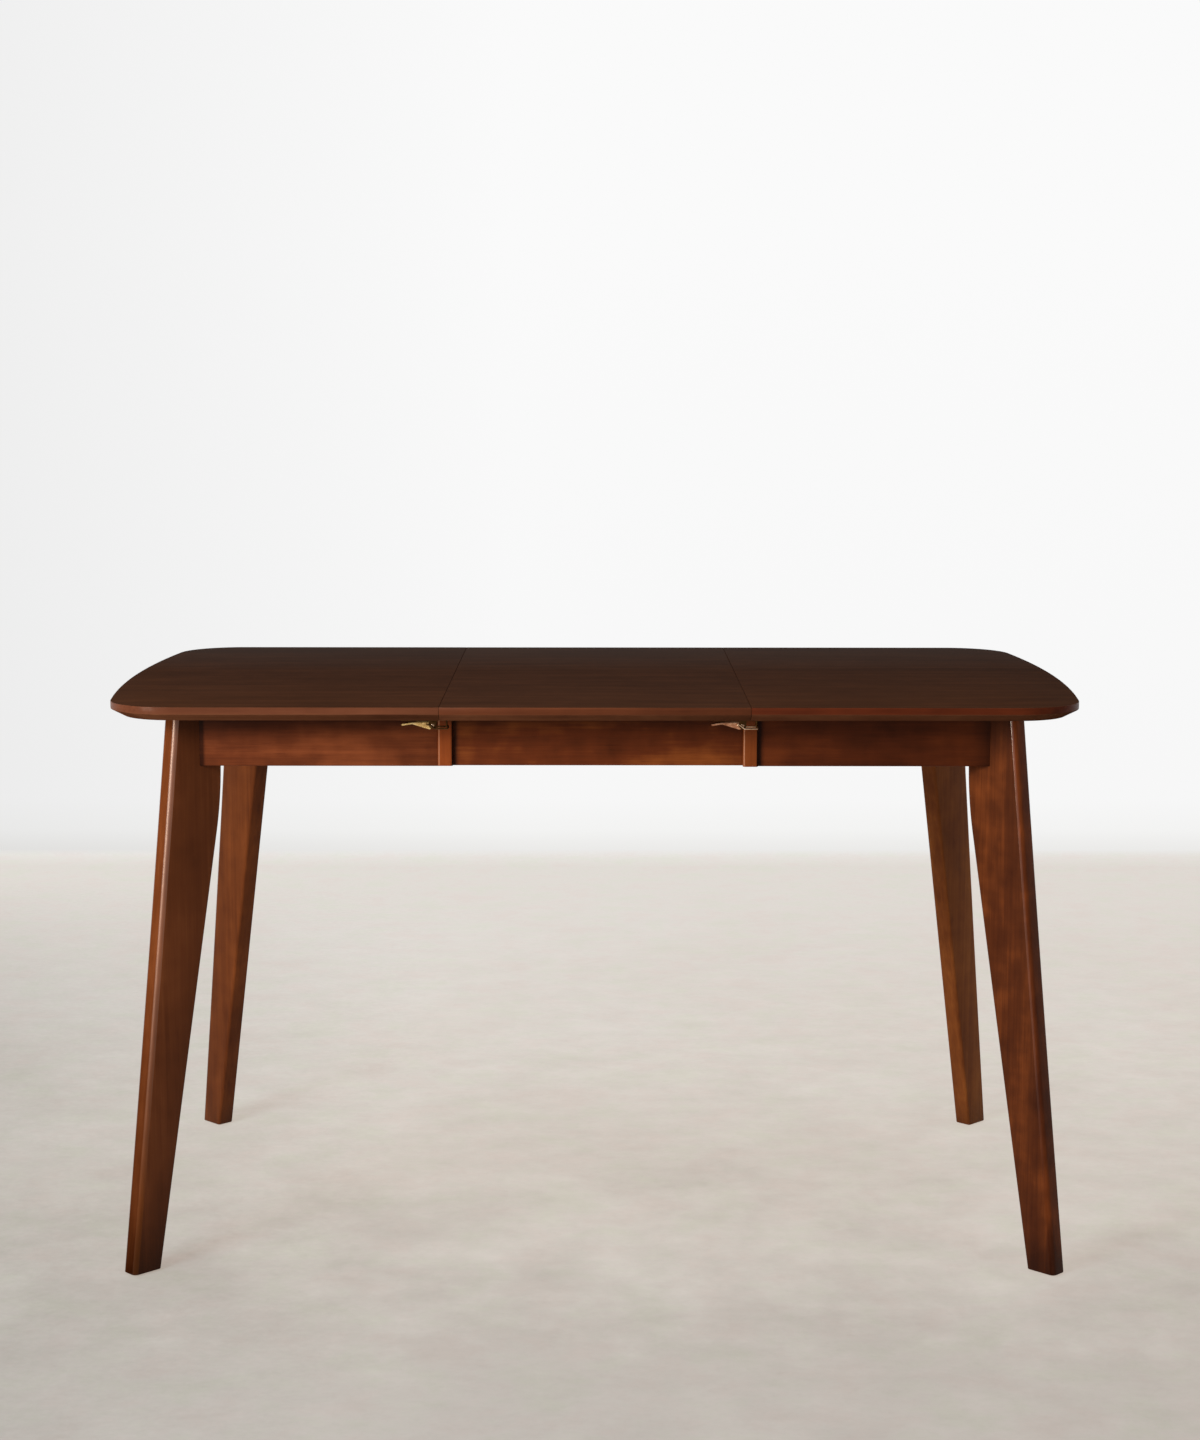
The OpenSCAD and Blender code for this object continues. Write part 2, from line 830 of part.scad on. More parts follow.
// A rail screwed under one half, with a tongue in the slot of the back beam
module rail(side, row) {
    near_y = beam_w / 2 + slide_play;
    color(pale_wood)
        mirror([0, row == FRONT ? 1 : 0, 0])
            difference() {
                union() {
                    translate([side == LEFT ? -rail_out_x : rail_in_x,
                        beam_y - side * (near_y + rail_w / 2) - rail_w / 2, under_z - beam_h])
                        cube([rail_out_x - rail_in_x, rail_w, beam_h]);
                    translate([side == LEFT ? -tongue_out_x : rail_in_x,
                        beam_y - side * near_y, slot_z])
                        rotate([90, 0, 90])
                            linear_extrude(tongue_out_x - rail_in_x)
                                mirror([side == LEFT ? 1 : 0, 0])
                                    translate([slide_play, 0])
                                        union() {
                                            translate([-slide_play - eps, -neck_h / 2])
                                                square([tongue_d + slide_play + 2 * eps, neck_h]);
                                            translate([tongue_d, -head_h / 2])
                                                square([tongue_d, head_h]);
                                        }
                }
                for (x = rail_screw_xs)
                    translate([side * x, beam_y - side * rail_offset, under_z - beam_h])
                        sunk_screw_hole(rail_screw_seat, beam_h);
            }
}

module left_rail_front() { rail(LEFT, FRONT); }
module left_rail_back() { rail(LEFT, BACK); }
module right_rail_front() { rail(RIGHT, FRONT); }
module right_rail_back() { rail(RIGHT, BACK); }

module rail_screws(side) {
    color(steel)
        for (y = rail_ys(side), x = rail_screw_xs)
            translate([side * x, y, under_z - beam_h + rail_screw_seat])
                screw(screw_d / 2, screw_head_r, screw_head_h,
                    beam_h - rail_screw_seat + screw_bite);
}

module left_rail_screws() { rail_screws(LEFT); }
module right_rail_screws() { rail_screws(RIGHT); }

// Puts a catch part, drawn about its seam and the underside of the top, in its place
module at_catch(seam, row) {
    translate([seam, row * catch_y, under_z])
        children();
}

// The brass base of a catch: a plate and two ears that hold the pivot pin
module catch_base() {
    difference() {
        union() {
            translate([-plate_near - plate_l, -plate_w / 2, -plate_t])
                cube([plate_l, plate_w, plate_t]);
            for (s = [-1, 1])
                translate([0, s * (ear_in + ear_out) / 2, 0])
                    across_y(ear_t) {
                        translate([pin_x, pin_z])
                            circle(r = ear_r, $fn = bore_fn);
                        translate([pin_x - ear_r, pin_z])
                            square([2 * ear_r, pivot_drop - plate_t / 2]);
                    }
        }
        translate([pin_x, plate_w / 2, pin_z])
            rotate([90, 0, 0])
                cylinder(r = pin_d / 2 + pin_play / 2, h = plate_w, $fn = bore_fn);
        for (p = base_screws)
            translate([p[0], p[1], -plate_t])
                screw_hole(small_screw_r, small_head_r, small_head_h, plate_t + 1);
    }
}

// The lever: a pressed channel, deep at its heel and drawn out to a thumb tab with a rolled tip
module catch_lever() {
    difference() {
        across_y(lever_w)
            translate([pin_x, pin_z]) {
                circle(r = hub_r, $fn = bore_fn);
                polygon([
                    [-1, hub_r - 0.4], [-lever_l * 0.68, 3], [-lever_l + lip_r, lip_z + lip_r],
                    [-lever_l + lip_r, lip_z - lip_r], [-lever_l * 0.66, 1.2], heel, [0, -hub_r]]);
                translate([-lever_l + lip_r, lip_z])
                    circle(r = lip_r, $fn = bore_fn);
            }
        across_y(lever_w - 2 * cheek_t)
            translate([pin_x, pin_z])
                polygon([
                    [hub_r - lever_skin, 6], [-lever_l * 0.56, 6],
                    [-lever_l * 0.56, heel[1] * 0.2 + lever_skin],
                    [heel[0], heel[1] + lever_skin], [hub_r - lever_skin, -hub_r + lever_skin]]);
        for (hole = [[pin_x, pin_z, pin_d], [bail_x, bail_z, wire_d]])
            translate([hole[0], lever_w, hole[1]])
                rotate([90, 0, 0])
                    cylinder(r = hole[2] / 2 + pin_play, h = 2 * lever_w, $fn = bore_fn);
    }
}

// Rivet that the lever turns on, headed over at both ears
module lever_pin() {
    l = 2 * ear_out;
    translate([pin_x, l / 2, pin_z])
        rotate([90, 0, 0])
            rotate_extrude($fn = bore_fn)
                polygon([
                    [0, -pin_head_h], [pin_head_r * 0.6, -pin_head_h],
                    [pin_head_r, -pin_head_h * 0.4], [pin_head_r, 0], [pin_d / 2, 0],
                    [pin_d / 2, l], [pin_head_r, l], [pin_head_r, l + pin_head_h * 0.4],
                    [pin_head_r * 0.6, l + pin_head_h], [0, l + pin_head_h]]);
}

// A round bend of the bail's wire, a quarter turn that starts along +Y and ends along +X
module wire_bend() {
    translate([bail_bend_r, 0, 0])
        mirror([1, 0, 0])
            rotate_extrude(angle = 90, $fn = 48)
                translate([bail_bend_r, 0])
                    circle(d = wire_d, $fn = 32);
}

// The bail: one loop of wire through the lever, cranked down and round under the keeper
module catch_bail() {
    across = bail_w - 2 * bail_bend_r;
    crank_run = crank_end - crank_start;
    joint_swell = 0.1;
    translate([bail_x, 0, bail_z]) {
        for (p = [[0, 0], [bail_l, -cross_drop]])
            translate([p[0], across / 2, p[1]])
                rotate([90, 0, 0])
                    cylinder(d = wire_d, h = across, $fn = 32);
        for (s = [0, 1])
            mirror([0, s, 0]) {
                translate([0, across / 2, 0])
                    wire_bend();
                translate([bail_l, across / 2, -cross_drop])
                    mirror([1, 0, 0])
                        wire_bend();
                translate([bail_bend_r, bail_w / 2, 0])
                    along_x()
                        cylinder(d = wire_d, h = crank_start - bail_bend_r, $fn = 32);
                translate([crank_start, bail_w / 2, 0])
                    rotate([0, 90 + atan2(cross_drop, crank_run), 0])
                        cylinder(d = wire_d, h = norm([crank_run, cross_drop]), $fn = 32);
                translate([crank_end, bail_w / 2, -cross_drop])
                    along_x()
                        cylinder(d = wire_d, h = bail_l - bail_bend_r - crank_end, $fn = 32);
                for (p = [[crank_start, 0], [crank_end, -cross_drop]])
                    translate([p[0], bail_w / 2, p[1]])
                        sphere(d = wire_d + joint_swell, $fn = 32);
            }
    }
}

// The keeper: a plate with a tab turned down in front of the bail's crosspiece
module catch_keeper() {
    difference() {
        union() {
            translate([keeper_near, -keeper_w / 2, -plate_t])
                cube([keeper_l, keeper_w, plate_t]);
            across_y(tab_w)
                polygon([
                    [cross_x - wire_d / 2 - tab_t, -plate_t / 2],
                    [cross_x - wire_d / 2 - tab_t, tab_low + 0.5],
                    [cross_x - wire_d / 2 - tab_t + 0.5, tab_low],
                    [cross_x + 0.6, tab_low],
                    [cross_x + 0.6, tab_low + 1.1],
                    [cross_x - wire_d / 2, tab_low + 1.3],
                    [cross_x - wire_d / 2, -plate_t / 2]]);
        }
        for (p = keeper_screws)
            translate([p[0], p[1], -plate_t])
                screw_hole(small_screw_r, small_head_r, small_head_h, plate_t + 1);
    }
}

module plate_screws(places) {
    for (p = places)
        translate([p[0], p[1], -plate_t])
            screw(small_screw_r, small_head_r, small_head_h, small_screw_l);
}

module left_catch_bases() {
    color(brass)
        for (row = [FRONT, BACK])
            at_catch(-seam_x, row)
                catch_base();
}

module leaf_catch_bases() {
    color(brass)
        for (row = [FRONT, BACK])
            at_catch(seam_x, row)
                catch_base();
}

module leaf_keepers() {
    color(brass)
        for (row = [FRONT, BACK])
            at_catch(-seam_x, row)
                catch_keeper();
}

module right_keepers() {
    color(brass)
        for (row = [FRONT, BACK])
            at_catch(seam_x, row)
                catch_keeper();
}

module left_lever_pins() {
    color(brass)
        for (row = [FRONT, BACK])
            at_catch(-seam_x, row)
                lever_pin();
}

module leaf_lever_pins() {
    color(brass)
        for (row = [FRONT, BACK])
            at_catch(seam_x, row)
                lever_pin();
}

module left_catch_screws() {
    color(brass)
        for (row = [FRONT, BACK])
            at_catch(-seam_x, row)
                plate_screws(base_screws);
}

module leaf_catch_screws() {
    color(brass)
        for (row = [FRONT, BACK]) {
            at_catch(seam_x, row)
                plate_screws(base_screws);
            at_catch(-seam_x, row)
                plate_screws(keeper_screws);
        }
}

module right_catch_screws() {
    color(brass)
        for (row = [FRONT, BACK])
            at_catch(seam_x, row)
                plate_screws(keeper_screws);
}

module lever_at(seam, row) {
    color(brass)
        at_catch(seam, row)
            catch_lever();
}

module bail_at(seam, row) {
    color(brass)
        at_catch(seam, row)
            catch_bail();
}

module left_lever_front() { lever_at(-seam_x, FRONT); }
module left_lever_back() { lever_at(-seam_x, BACK); }
module leaf_lever_front() { lever_at(seam_x, FRONT); }
module leaf_lever_back() { lever_at(seam_x, BACK); }
module left_bail_front() { bail_at(-seam_x, FRONT); }
module left_bail_back() { bail_at(-seam_x, BACK); }
module leaf_bail_front() { bail_at(seam_x, FRONT); }
module leaf_bail_back() { bail_at(seam_x, BACK); }

leaf_top();
leaf_apron_front();
leaf_apron_back();
leaf_strip_front();
leaf_strip_back();
leaf_glue_blocks();
slide_beam_front();
slide_beam_back();
slide_stop_pegs();
leaf_dowels();
leaf_catch_bases();
leaf_keepers();
leaf_lever_pins();
leaf_catch_screws();
left_top();
left_apron_front();
left_apron_back();
left_end_apron();
left_leg_front();
left_leg_back();
left_block_front();
left_block_back();
left_leg_bolts();
left_leg_nuts();
left_block_screws();
left_rail_front();
left_rail_back();
left_rail_screws();
left_dowels();
left_catch_bases();
left_lever_pins();
left_catch_screws();
left_glides();
right_top();
right_apron_front();
right_apron_back();
right_end_apron();
right_leg_front();
right_leg_back();
right_block_front();
right_block_back();
right_leg_bolts();
right_leg_nuts();
right_block_screws();
right_rail_front();
right_rail_back();
right_rail_screws();
right_strip_front();
right_strip_back();
right_keepers();
right_catch_screws();
right_glides();
left_lever_front();
left_lever_back();
leaf_lever_front();
leaf_lever_back();
left_bail_front();
left_bail_back();
leaf_bail_front();
leaf_bail_back();
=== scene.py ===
"""Extending dining table, seen as in the photograph.

Metres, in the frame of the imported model: +X along the table, -Y the front edge, +Z up.
"""

import json
import math

import bmesh
import bpy
from mathutils import Matrix, Vector

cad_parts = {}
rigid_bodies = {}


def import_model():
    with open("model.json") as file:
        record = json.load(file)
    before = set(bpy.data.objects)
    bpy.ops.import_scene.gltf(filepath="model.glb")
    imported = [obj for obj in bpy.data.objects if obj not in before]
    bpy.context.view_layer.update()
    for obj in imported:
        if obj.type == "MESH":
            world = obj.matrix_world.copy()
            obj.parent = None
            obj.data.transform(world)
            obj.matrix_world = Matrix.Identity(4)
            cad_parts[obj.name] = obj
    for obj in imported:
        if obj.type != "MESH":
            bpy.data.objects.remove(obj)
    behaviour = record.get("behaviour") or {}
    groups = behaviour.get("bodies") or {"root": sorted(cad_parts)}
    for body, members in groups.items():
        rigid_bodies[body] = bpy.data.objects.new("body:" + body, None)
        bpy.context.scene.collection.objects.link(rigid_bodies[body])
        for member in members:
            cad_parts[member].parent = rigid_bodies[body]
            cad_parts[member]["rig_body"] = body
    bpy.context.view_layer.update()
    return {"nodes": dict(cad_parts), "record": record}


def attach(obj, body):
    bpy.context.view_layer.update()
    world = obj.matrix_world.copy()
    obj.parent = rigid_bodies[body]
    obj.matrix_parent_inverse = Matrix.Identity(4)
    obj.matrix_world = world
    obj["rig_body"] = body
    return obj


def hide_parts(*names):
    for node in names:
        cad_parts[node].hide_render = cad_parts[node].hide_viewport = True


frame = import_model()
nodes = frame["nodes"]


X, Y, Z = range(3)

# Sizes of the real pieces, as in the part's source
TOP_Z = 0.755
UNDER_Z = 0.736
EDGE_Z = 0.7455
BEVEL_IN = 0.018
SEAM_X = 0.2
SEAM_GAP = 0.0001
TIP_X = 0.65
SIDE_Y = 0.375
BOW_R = 2.6
CORNER_R = 0.088
LEG_X = 0.5545
LEG_Y = 0.3065
LEG_T = 0.027
LEG_HEAD_W = 0.073
LEG_FOOT_W = 0.043
LEG_SPLAY = 0.078
LEG_SABRE = 0.005
LEG_KNEE_DROP = 0.114
LEG_KNEE_R = 0.5
LEG_OUTER_R = 0.007
LEG_INNER_R = 0.004
GLIDE_H = 0.002
APRON_STEP = 0.016
APRON_T = 0.020
APRON_H = 0.069
LEAF_APRON_H = 0.068
STRIP_W = 0.020
STRIP_T = 0.006
STRIP_LAP = 0.006
STRIP_RELIEF = 0.0003
DOWEL_HOLE_R = 0.0041
DOWEL_HOLE_DEPTH = 0.0155
DOWEL_YS = [k * SIDE_Y for k in (-0.76, -0.3, 0.3, 0.76)]

# How far the edges of the wooden pieces are rounded over
TOP_ARRIS = 0.0012
EDGE_ARRIS = 0.0008
UNDER_ARRIS = 0.0006
SEAM_ARRIS = 0.00025
APRON_ARRIS = 0.0011
STRIP_ARRIS = 0.0034
STRIP_END_ARRIS = 0.0006
FOOT_ARRIS = 0.0012

# An edge turns a corner where its faces differ by more than this, in radians
CORNER = 0.5
# How far off a seam's place its edges may be once they are eased
SEAM_SLACK = 2e-4
# How far a board is made past its seam before it is cut off there, a hole's cutter past
# its mouth, and how far below the top an apron's eased edges reach at least
OVERSIZE = 0.03
CUTTER_PROUD = 0.002
EASED_BELOW = 0.01
# Sides of the round forms, and levels of a leg below, in and above its knee
BOW_SIDES = 720
CORNER_SIDES = 144
HOLE_SIDES = 32
TAPER_LEVELS = 12
KNEE_LEVELS = 12
HEAD_LEVELS = 3

SIDES = {"left": -1, "right": 1}
ROWS = {"front": -1, "back": 1}
APRON_X = LEG_X - APRON_STEP
APRON_Y = LEG_Y - APRON_STEP
MITRE_BACK = APRON_STEP + LEG_T / math.sqrt(2)
APRON_END = LEG_X - MITRE_BACK


# Modelling


def box_of(lowest, highest):
    """A block between two corners, as the start of a piece."""
    bpy.ops.object.select_all(action="DESELECT")
    low, high = Vector(lowest), Vector(highest)
    bpy.ops.mesh.primitive_cube_add(size=1, location=(low + high) / 2)
    block = bpy.context.object
    block.scale = high - low
    settle(block)
    return block


def disc_of(radius, centre, low_z, high_z, corners):
    """An upright round slab between two heights."""
    bpy.ops.object.select_all(action="DESELECT")
    middle = (centre[0], centre[1], (low_z + high_z) / 2)
    bpy.ops.mesh.primitive_cylinder_add(
        vertices=corners, radius=radius, depth=high_z - low_z, location=middle
    )
    disc = bpy.context.object
    settle(disc)
    return disc


def only(piece):
    """Makes one piece the selected and active one."""
    bpy.ops.object.select_all(action="DESELECT")
    piece.select_set(True)
    bpy.context.view_layer.objects.active = piece


def settle(piece):
    """Puts a piece's place, turn and size into its mesh."""
    only(piece)
    bpy.ops.object.transform_apply(location=True, rotation=True, scale=True)


def edit(piece):
    """Opens a piece for editing, with all of it selected."""
    only(piece)
    bpy.ops.object.mode_set(mode="EDIT")
    bpy.ops.mesh.select_all(action="SELECT")


def done():
    """Closes the open piece."""
    bpy.ops.object.mode_set(mode="OBJECT")


def pick(piece, kind, test):
    """Selects the faces, edges or verts of the open piece that pass a test."""
    modes = {"verts": "VERT", "edges": "EDGE", "faces": "FACE"}
    bpy.ops.mesh.select_mode(type=modes[kind])
    bpy.ops.mesh.select_all(action="DESELECT")
    mesh = bmesh.from_edit_mesh(piece.data)
    for element in getattr(mesh, kind):
        if test(element):
            element.select_set(True)
    mesh.select_flush_mode()
    bmesh.update_edit_mesh(piece.data)


def near(a, b, slack=1e-5):
    """Whether two numbers are as good as equal."""
    return abs(a - b) < slack


def all_at(axis, place, slack=1e-5):
    """A test for edges or faces that lie wholly at one place along an axis."""
    return lambda element: all(near(v.co[axis], place, slack) for v in element.verts)


def sharp(edge):
    """Whether an edge turns a corner."""
    return edge.calc_face_angle() > CORNER


def facing(axis, low, high):
    """A test for faces by how far they face along an axis."""
    return lambda face: low < face.normal[axis] < high


def cut(point, normal):
    """Bisects the open piece and closes it, dropping what lies past the plane."""
    bpy.ops.mesh.select_mode(type="VERT")
    bpy.ops.mesh.select_all(action="SELECT")
    bpy.ops.mesh.bisect(plane_co=point, plane_no=normal, use_fill=True, clear_outer=True)


def ease(piece, width, segments, test):
    """Rounds over the open piece's edges that pass a test."""
    pick(piece, "edges", test)
    bpy.ops.mesh.bevel(
        offset=width, segments=segments, profile=0.5, affect="EDGES", clamp_overlap=True
    )


def joined(pieces):
    """One piece made of several."""
    bpy.ops.object.select_all(action="DESELECT")
    for piece in pieces:
        piece.select_set(True)
    bpy.context.view_layer.objects.active = pieces[0]
    bpy.ops.object.join()
    return pieces[0]


def copied(piece, scale):
    """A mirrored copy about the middle of the table, with its own mesh."""
    only(piece)
    bpy.ops.object.duplicate()
    twin = bpy.context.object
    twin.scale = scale
    settle(twin)
    edit(twin)
    bpy.ops.mesh.normals_make_consistent(inside=False)
    done()
    return twin


def finish(piece, name, body, material, slot, stands_for, smooth=32):
    """Names a finished piece and gives it its body, material and smooth faces."""
    only(piece)
    bpy.ops.object.shade_smooth_by_angle(angle=math.radians(smooth))
    piece.name = name
    piece.data.name = name
    piece.data.materials.clear()
    piece.data.materials.append(material)
    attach(piece, body)
    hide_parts(*stands_for)
    return piece


def paint_faces(piece, material, test):
    """Gives the faces of a finished piece that pass a test a material of their own."""
    piece.data.materials.append(material)
    for face in piece.data.polygons:
        if test(face):
            face.material_index = len(piece.data.materials) - 1


def bore(piece, cutters):
    """Cuts the cutters out of a piece, and removes them."""
    cutter = joined(cutters) if len(cutters) > 1 else cutters[0]
    only(piece)
    tool = piece.modifiers.new("bore", "BOOLEAN")
    tool.operation = "DIFFERENCE"
    tool.solver = "EXACT"
    tool.object = cutter
    bpy.ops.object.modifier_apply(modifier=tool.name)
    bpy.data.objects.remove(cutter)


# Materials


def srgb(red, green, blue):
    """A colour of 0 to 255 on the screen, as the linear colour that a shader takes."""
    linear = []
    for part in (red, green, blue):
        c = part / 255
        linear.append(c / 12.92 if c <= 0.04045 else ((c + 0.055) / 1.055) ** 2.4)
    return (*linear, 1.0)


class Value:
    """A socket of a shader. Arithmetic on it adds Math nodes."""

    def __init__(self, finish, socket):
        self.finish = finish
        self.socket = socket

    def math(self, operation, *others, clamp=False):
        inputs = dict(enumerate((self, *others)))
        settings = {"operation": operation, "use_clamp": clamp}
        return self.finish.node("ShaderNodeMath", settings, inputs)

    def __add__(self, other):
        return self.math("ADD", other)

    def __sub__(self, other):
        return self.math("SUBTRACT", other)

    def __rsub__(self, other):
        return self.finish.node(
            "ShaderNodeMath", {"operation": "SUBTRACT"}, {0: other, 1: self}
        )

    def __mul__(self, other):
        return self.math("MULTIPLY", other)

    def __pow__(self, other):
        return self.math("POWER", other)

    __radd__ = __add__
    __rmul__ = __mul__

    def ramp(self, low, high):
        """0 at low and 1 at high, held in between."""
        settings = {"clamp": True}
        inputs = {0: self, 1: low, 2: high, 3: 0.0, 4: 1.0}
        return self.finish.node("ShaderNodeMapRange", settings, inputs)

    def part(self, index):
        """The X, Y or Z of a vector."""
        return self.finish.node("ShaderNodeSeparateXYZ", {}, {0: self}, index)


class Finish:
    """One procedural material, or world."""

    def __init__(self, name, kind=None):
        self.material = (bpy.data.materials if kind is None else kind).new(name)
        self.material.use_nodes = True
        self.tree = self.material.node_tree
        self.tree.nodes.clear()
        self.here = self.node("ShaderNodeTexCoord", output="Object")

    def node(self, kind, settings=None, sockets=None, output=0):
        made = self.tree.nodes.new(kind)
        for name, value in (settings or {}).items():
            if name == "stops":
                self.set_stops(made.color_ramp, value)
            else:
                setattr(made, name, value)
        for name, value in (sockets or {}).items():
            if isinstance(value, Value):
                self.tree.links.new(value.socket, made.inputs[name])
            else:
                made.inputs[name].default_value = value
        return Value(self, made.outputs[output]) if made.outputs else None

    @staticmethod
    def set_stops(ramp, stops):
        while len(ramp.elements) < len(stops):
            ramp.elements.new(1.0)
        for element, (place, colour) in zip(ramp.elements, stops):
            element.position = place
            element.color = colour

    def moved(self, vector, move=(0, 0, 0), turn=(0, 0, 0), scale=(1, 1, 1)):
        inputs = {"Vector": vector, "Location": move, "Rotation": turn, "Scale": scale}
        return self.node("ShaderNodeMapping", {}, inputs)

    def noise(self, vector, scale, detail=3, roughness=0.55):
        inputs = {
            "Vector": vector,
            "Scale": scale,
            "Detail": detail,
            "Roughness": roughness,
        }
        return self.node("ShaderNodeTexNoise", {}, inputs)

    def colours(self, factor, stops):
        return self.node("ShaderNodeValToRGB", {"stops": stops}, {0: factor})

    def mixed(self, blend, factor, first, second):
        settings = {"data_type": "RGBA", "blend_type": blend}
        return self.node(
            "ShaderNodeMix", settings, {0: factor, 6: first, 7: second}, output=2
        )

    def bump(self, height, strength, distance):
        inputs = {"Height": height, "Strength": strength, "Distance": distance}
        return self.node("ShaderNodeBump", {}, inputs)

    def surface(self, **sockets):
        names = {name.replace("_", " "): value for name, value in sockets.items()}
        shader = self.node("ShaderNodeBsdfPrincipled", {}, names)
        self.node("ShaderNodeOutputMaterial", {}, {"Surface": shader})
        return self.material


# Colours of painted shade, and of a painted reflection of pale light on the wood
SHADE = srgb(70, 44, 34)
PAINTED_REFLECTION = srgb(64, 60, 58)

# The turn that lays the grain along each axis
GRAIN_TURNS = {"x": (0, 0, 0), "y": (0, 0, math.pi / 2), "z": (0, math.pi / 2, 0)}
# Scales of the wood's figure along its grain, across it and through it
WAVES = (1.1, 5, 5)
FINE_GRAIN = (16, 420, 420)
PATCHES = (6, 13, 13)
SHIMMER = (38, 24, 24)
SLITS = (40, 900, 900)
STREAKS_ALONG = 1.6
# Half rings of growth in a metre across the board and through it, and how far they sway
RINGS_ACROSS = 46
RINGS_THROUGH = 21
RING_SWAY = 7.0
RING_RAGGEDNESS = 1.2
# Depths of the relief of wood, metal and moulded plastic, in metres
GRAIN_DEPTH = 0.0004
FINE_DEPTH = 0.0002


def wood(
    name,
    tones,
    along="x",
    start=(0, 0, 0),
    streaks=60,
    figure=0.3,
    blotch=0.5,
    pores=0.4,
    roughness=0.36,
    coat=0.08,
    coat_roughness=0.18,
    coat_ior=1.5,
    shine=0.06,
    shine_tint=(1, 1, 1, 1),
    shades=(),
    painted_sheen=None,
    coat_rise=None,
):
    """Stained and lacquered wood, its grain along one axis of the table.

    tones are the dark, middle and light colours. streaks is how many grain lines a metre has,
    figure how strongly they and the growth rings show, and blotch how unevenly the stain took.
    Each of the shades darkens it, as painted shade and at the feet also as stain: an axis, a
    place on it, a second place where it is darkest, and by how much. haze is the same for a
    painted reflection that greys the wood. coat_rise is the height up to which there is no
    clear coat, and the height from which it is thickest.
    """
    paint = Finish(name)
    board = paint.moved(paint.here, move=start, turn=GRAIN_TURNS[along])
    waves = paint.noise(paint.moved(board, scale=WAVES), 1.0, 2)
    lines = paint.moved(board, scale=(STREAKS_ALONG, streaks, streaks))
    bands = paint.noise(lines, 1.0, 4, 0.6)
    fine = paint.noise(paint.moved(board, scale=FINE_GRAIN), 1.0, 3, 0.6)
    across = board.part(Y) * RINGS_ACROSS + board.part(Z) * RINGS_THROUGH
    rings = across + waves * RING_SWAY + bands * RING_RAGGEDNESS
    flame = rings.math("PINGPONG", 1.0).ramp(0.15, 1.0) ** 2.2
    patches = paint.noise(paint.moved(board, scale=PATCHES), 1.0, 3, 0.62)
    shimmer = paint.noise(paint.moved(board, move=(5, 2, 1), scale=SHIMMER), 1.0, 2, 0.5)
    slits = paint.noise(paint.moved(board, scale=SLITS), 1.0, 1)
    pore = slits.ramp(0.64, 0.74) * bands.ramp(0.3, 0.7)
    tone = (bands.ramp(0.28, 0.74) - 0.5) * figure + (flame - 0.4) * (figure * 0.6)
    tone = tone + (patches.ramp(0.3, 0.7) - 0.5) * blotch
    tone = tone + (shimmer.ramp(0.3, 0.7) - 0.5) * (blotch * 0.3)
    tone = tone + (fine - 0.5) * 0.4 - pore * (pores * 0.4) + 0.5
    stops = [(0.0, tones[0]), (0.5, tones[1]), (1.0, tones[2])]
    stain = paint.colours(tone.math("ADD", 0.0, clamp=True), stops)
    # Painted shade darkens the stain where asked, and a painted reflection greys it
    for axis, clear, darkest, amount in shades:
        depth = paint.here.part(axis).ramp(clear, darkest) ** 1.4 * amount
        stain = paint.mixed("MULTIPLY", depth, stain, SHADE)
    if painted_sheen:
        axis, clear, fullest_sheen, amount = painted_sheen
        depth = paint.here.part(axis).ramp(clear, fullest_sheen) * amount
        stain = paint.mixed("MIX", depth, stain, PAINTED_REFLECTION)
    if coat_rise:
        coat = paint.here.part(Z).ramp(*coat_rise) * coat
    gloss = roughness + (fine - 0.5) * 0.12 + patches.ramp(0.3, 0.7) * 0.05
    normal = paint.bump(fine * 0.6 + bands * 0.4 - pore, 0.12, GRAIN_DEPTH)
    return paint.surface(
        Base_Color=stain,
        Roughness=gloss,
        Normal=normal,
        Coat_Weight=coat,
        Coat_Roughness=coat_roughness,
        Coat_IOR=coat_ior,
        Specular_IOR_Level=shine,
        Specular_Tint=shine_tint,
    )


def metal(name, tones, roughness, bright=1.0):
    """Bare metal with fine working marks and uneven ageing."""
    paint = Finish(name)
    marks = paint.noise(paint.here, 900, 3, 0.65)
    age = paint.noise(paint.here, 140, 4, 0.6)
    spots = paint.noise(paint.here, 420, 2).ramp(0.6, 0.72) * age.ramp(0.4, 0.6)
    tone = age.ramp(0.3, 0.7) + (marks - 0.5) * 0.5 - spots * 0.5
    stops = [(0.0, tones[0]), (0.55, tones[1]), (1.0, tones[2])]
    colour = paint.colours(tone.math("ADD", 0.0, clamp=True), stops)
    gloss = roughness + (marks - 0.5) * 0.2 + spots * 0.2
    return paint.surface(
        Base_Color=colour,
        Metallic=bright - spots * 0.35,
        Roughness=gloss,
        Normal=paint.bump(marks + age * 0.5, 0.1, FINE_DEPTH),
    )


# Each list of tones is the dark, middle and light colour of a piece, and each start is
# a place of its own in the pattern
TOP_TONES = [srgb(47, 26, 14), srgb(62, 36, 21), srgb(76, 45, 27)]
TOP_STARTS = {"left": (0.3, 0.1, 0), "leaf": (1.7, 2.3, 0), "right": (4.1, 1.2, 0)}
top_wood = {
    part: wood(
        f"walnut_stain_{part}_top",
        TOP_TONES,
        start=start,
        figure=0.22,
        blotch=0.3,
        roughness=0.5,
        coat=0.015,
        shine=0.0,
        # Painted light: lighter at the front edge, and towards the back a painted reflection
        shades=[(Y, -0.36, -0.02, 0.17)],
        painted_sheen=(Y, 0.05, SIDE_Y, 0.4),
    )
    for part, start in TOP_STARTS.items()
}
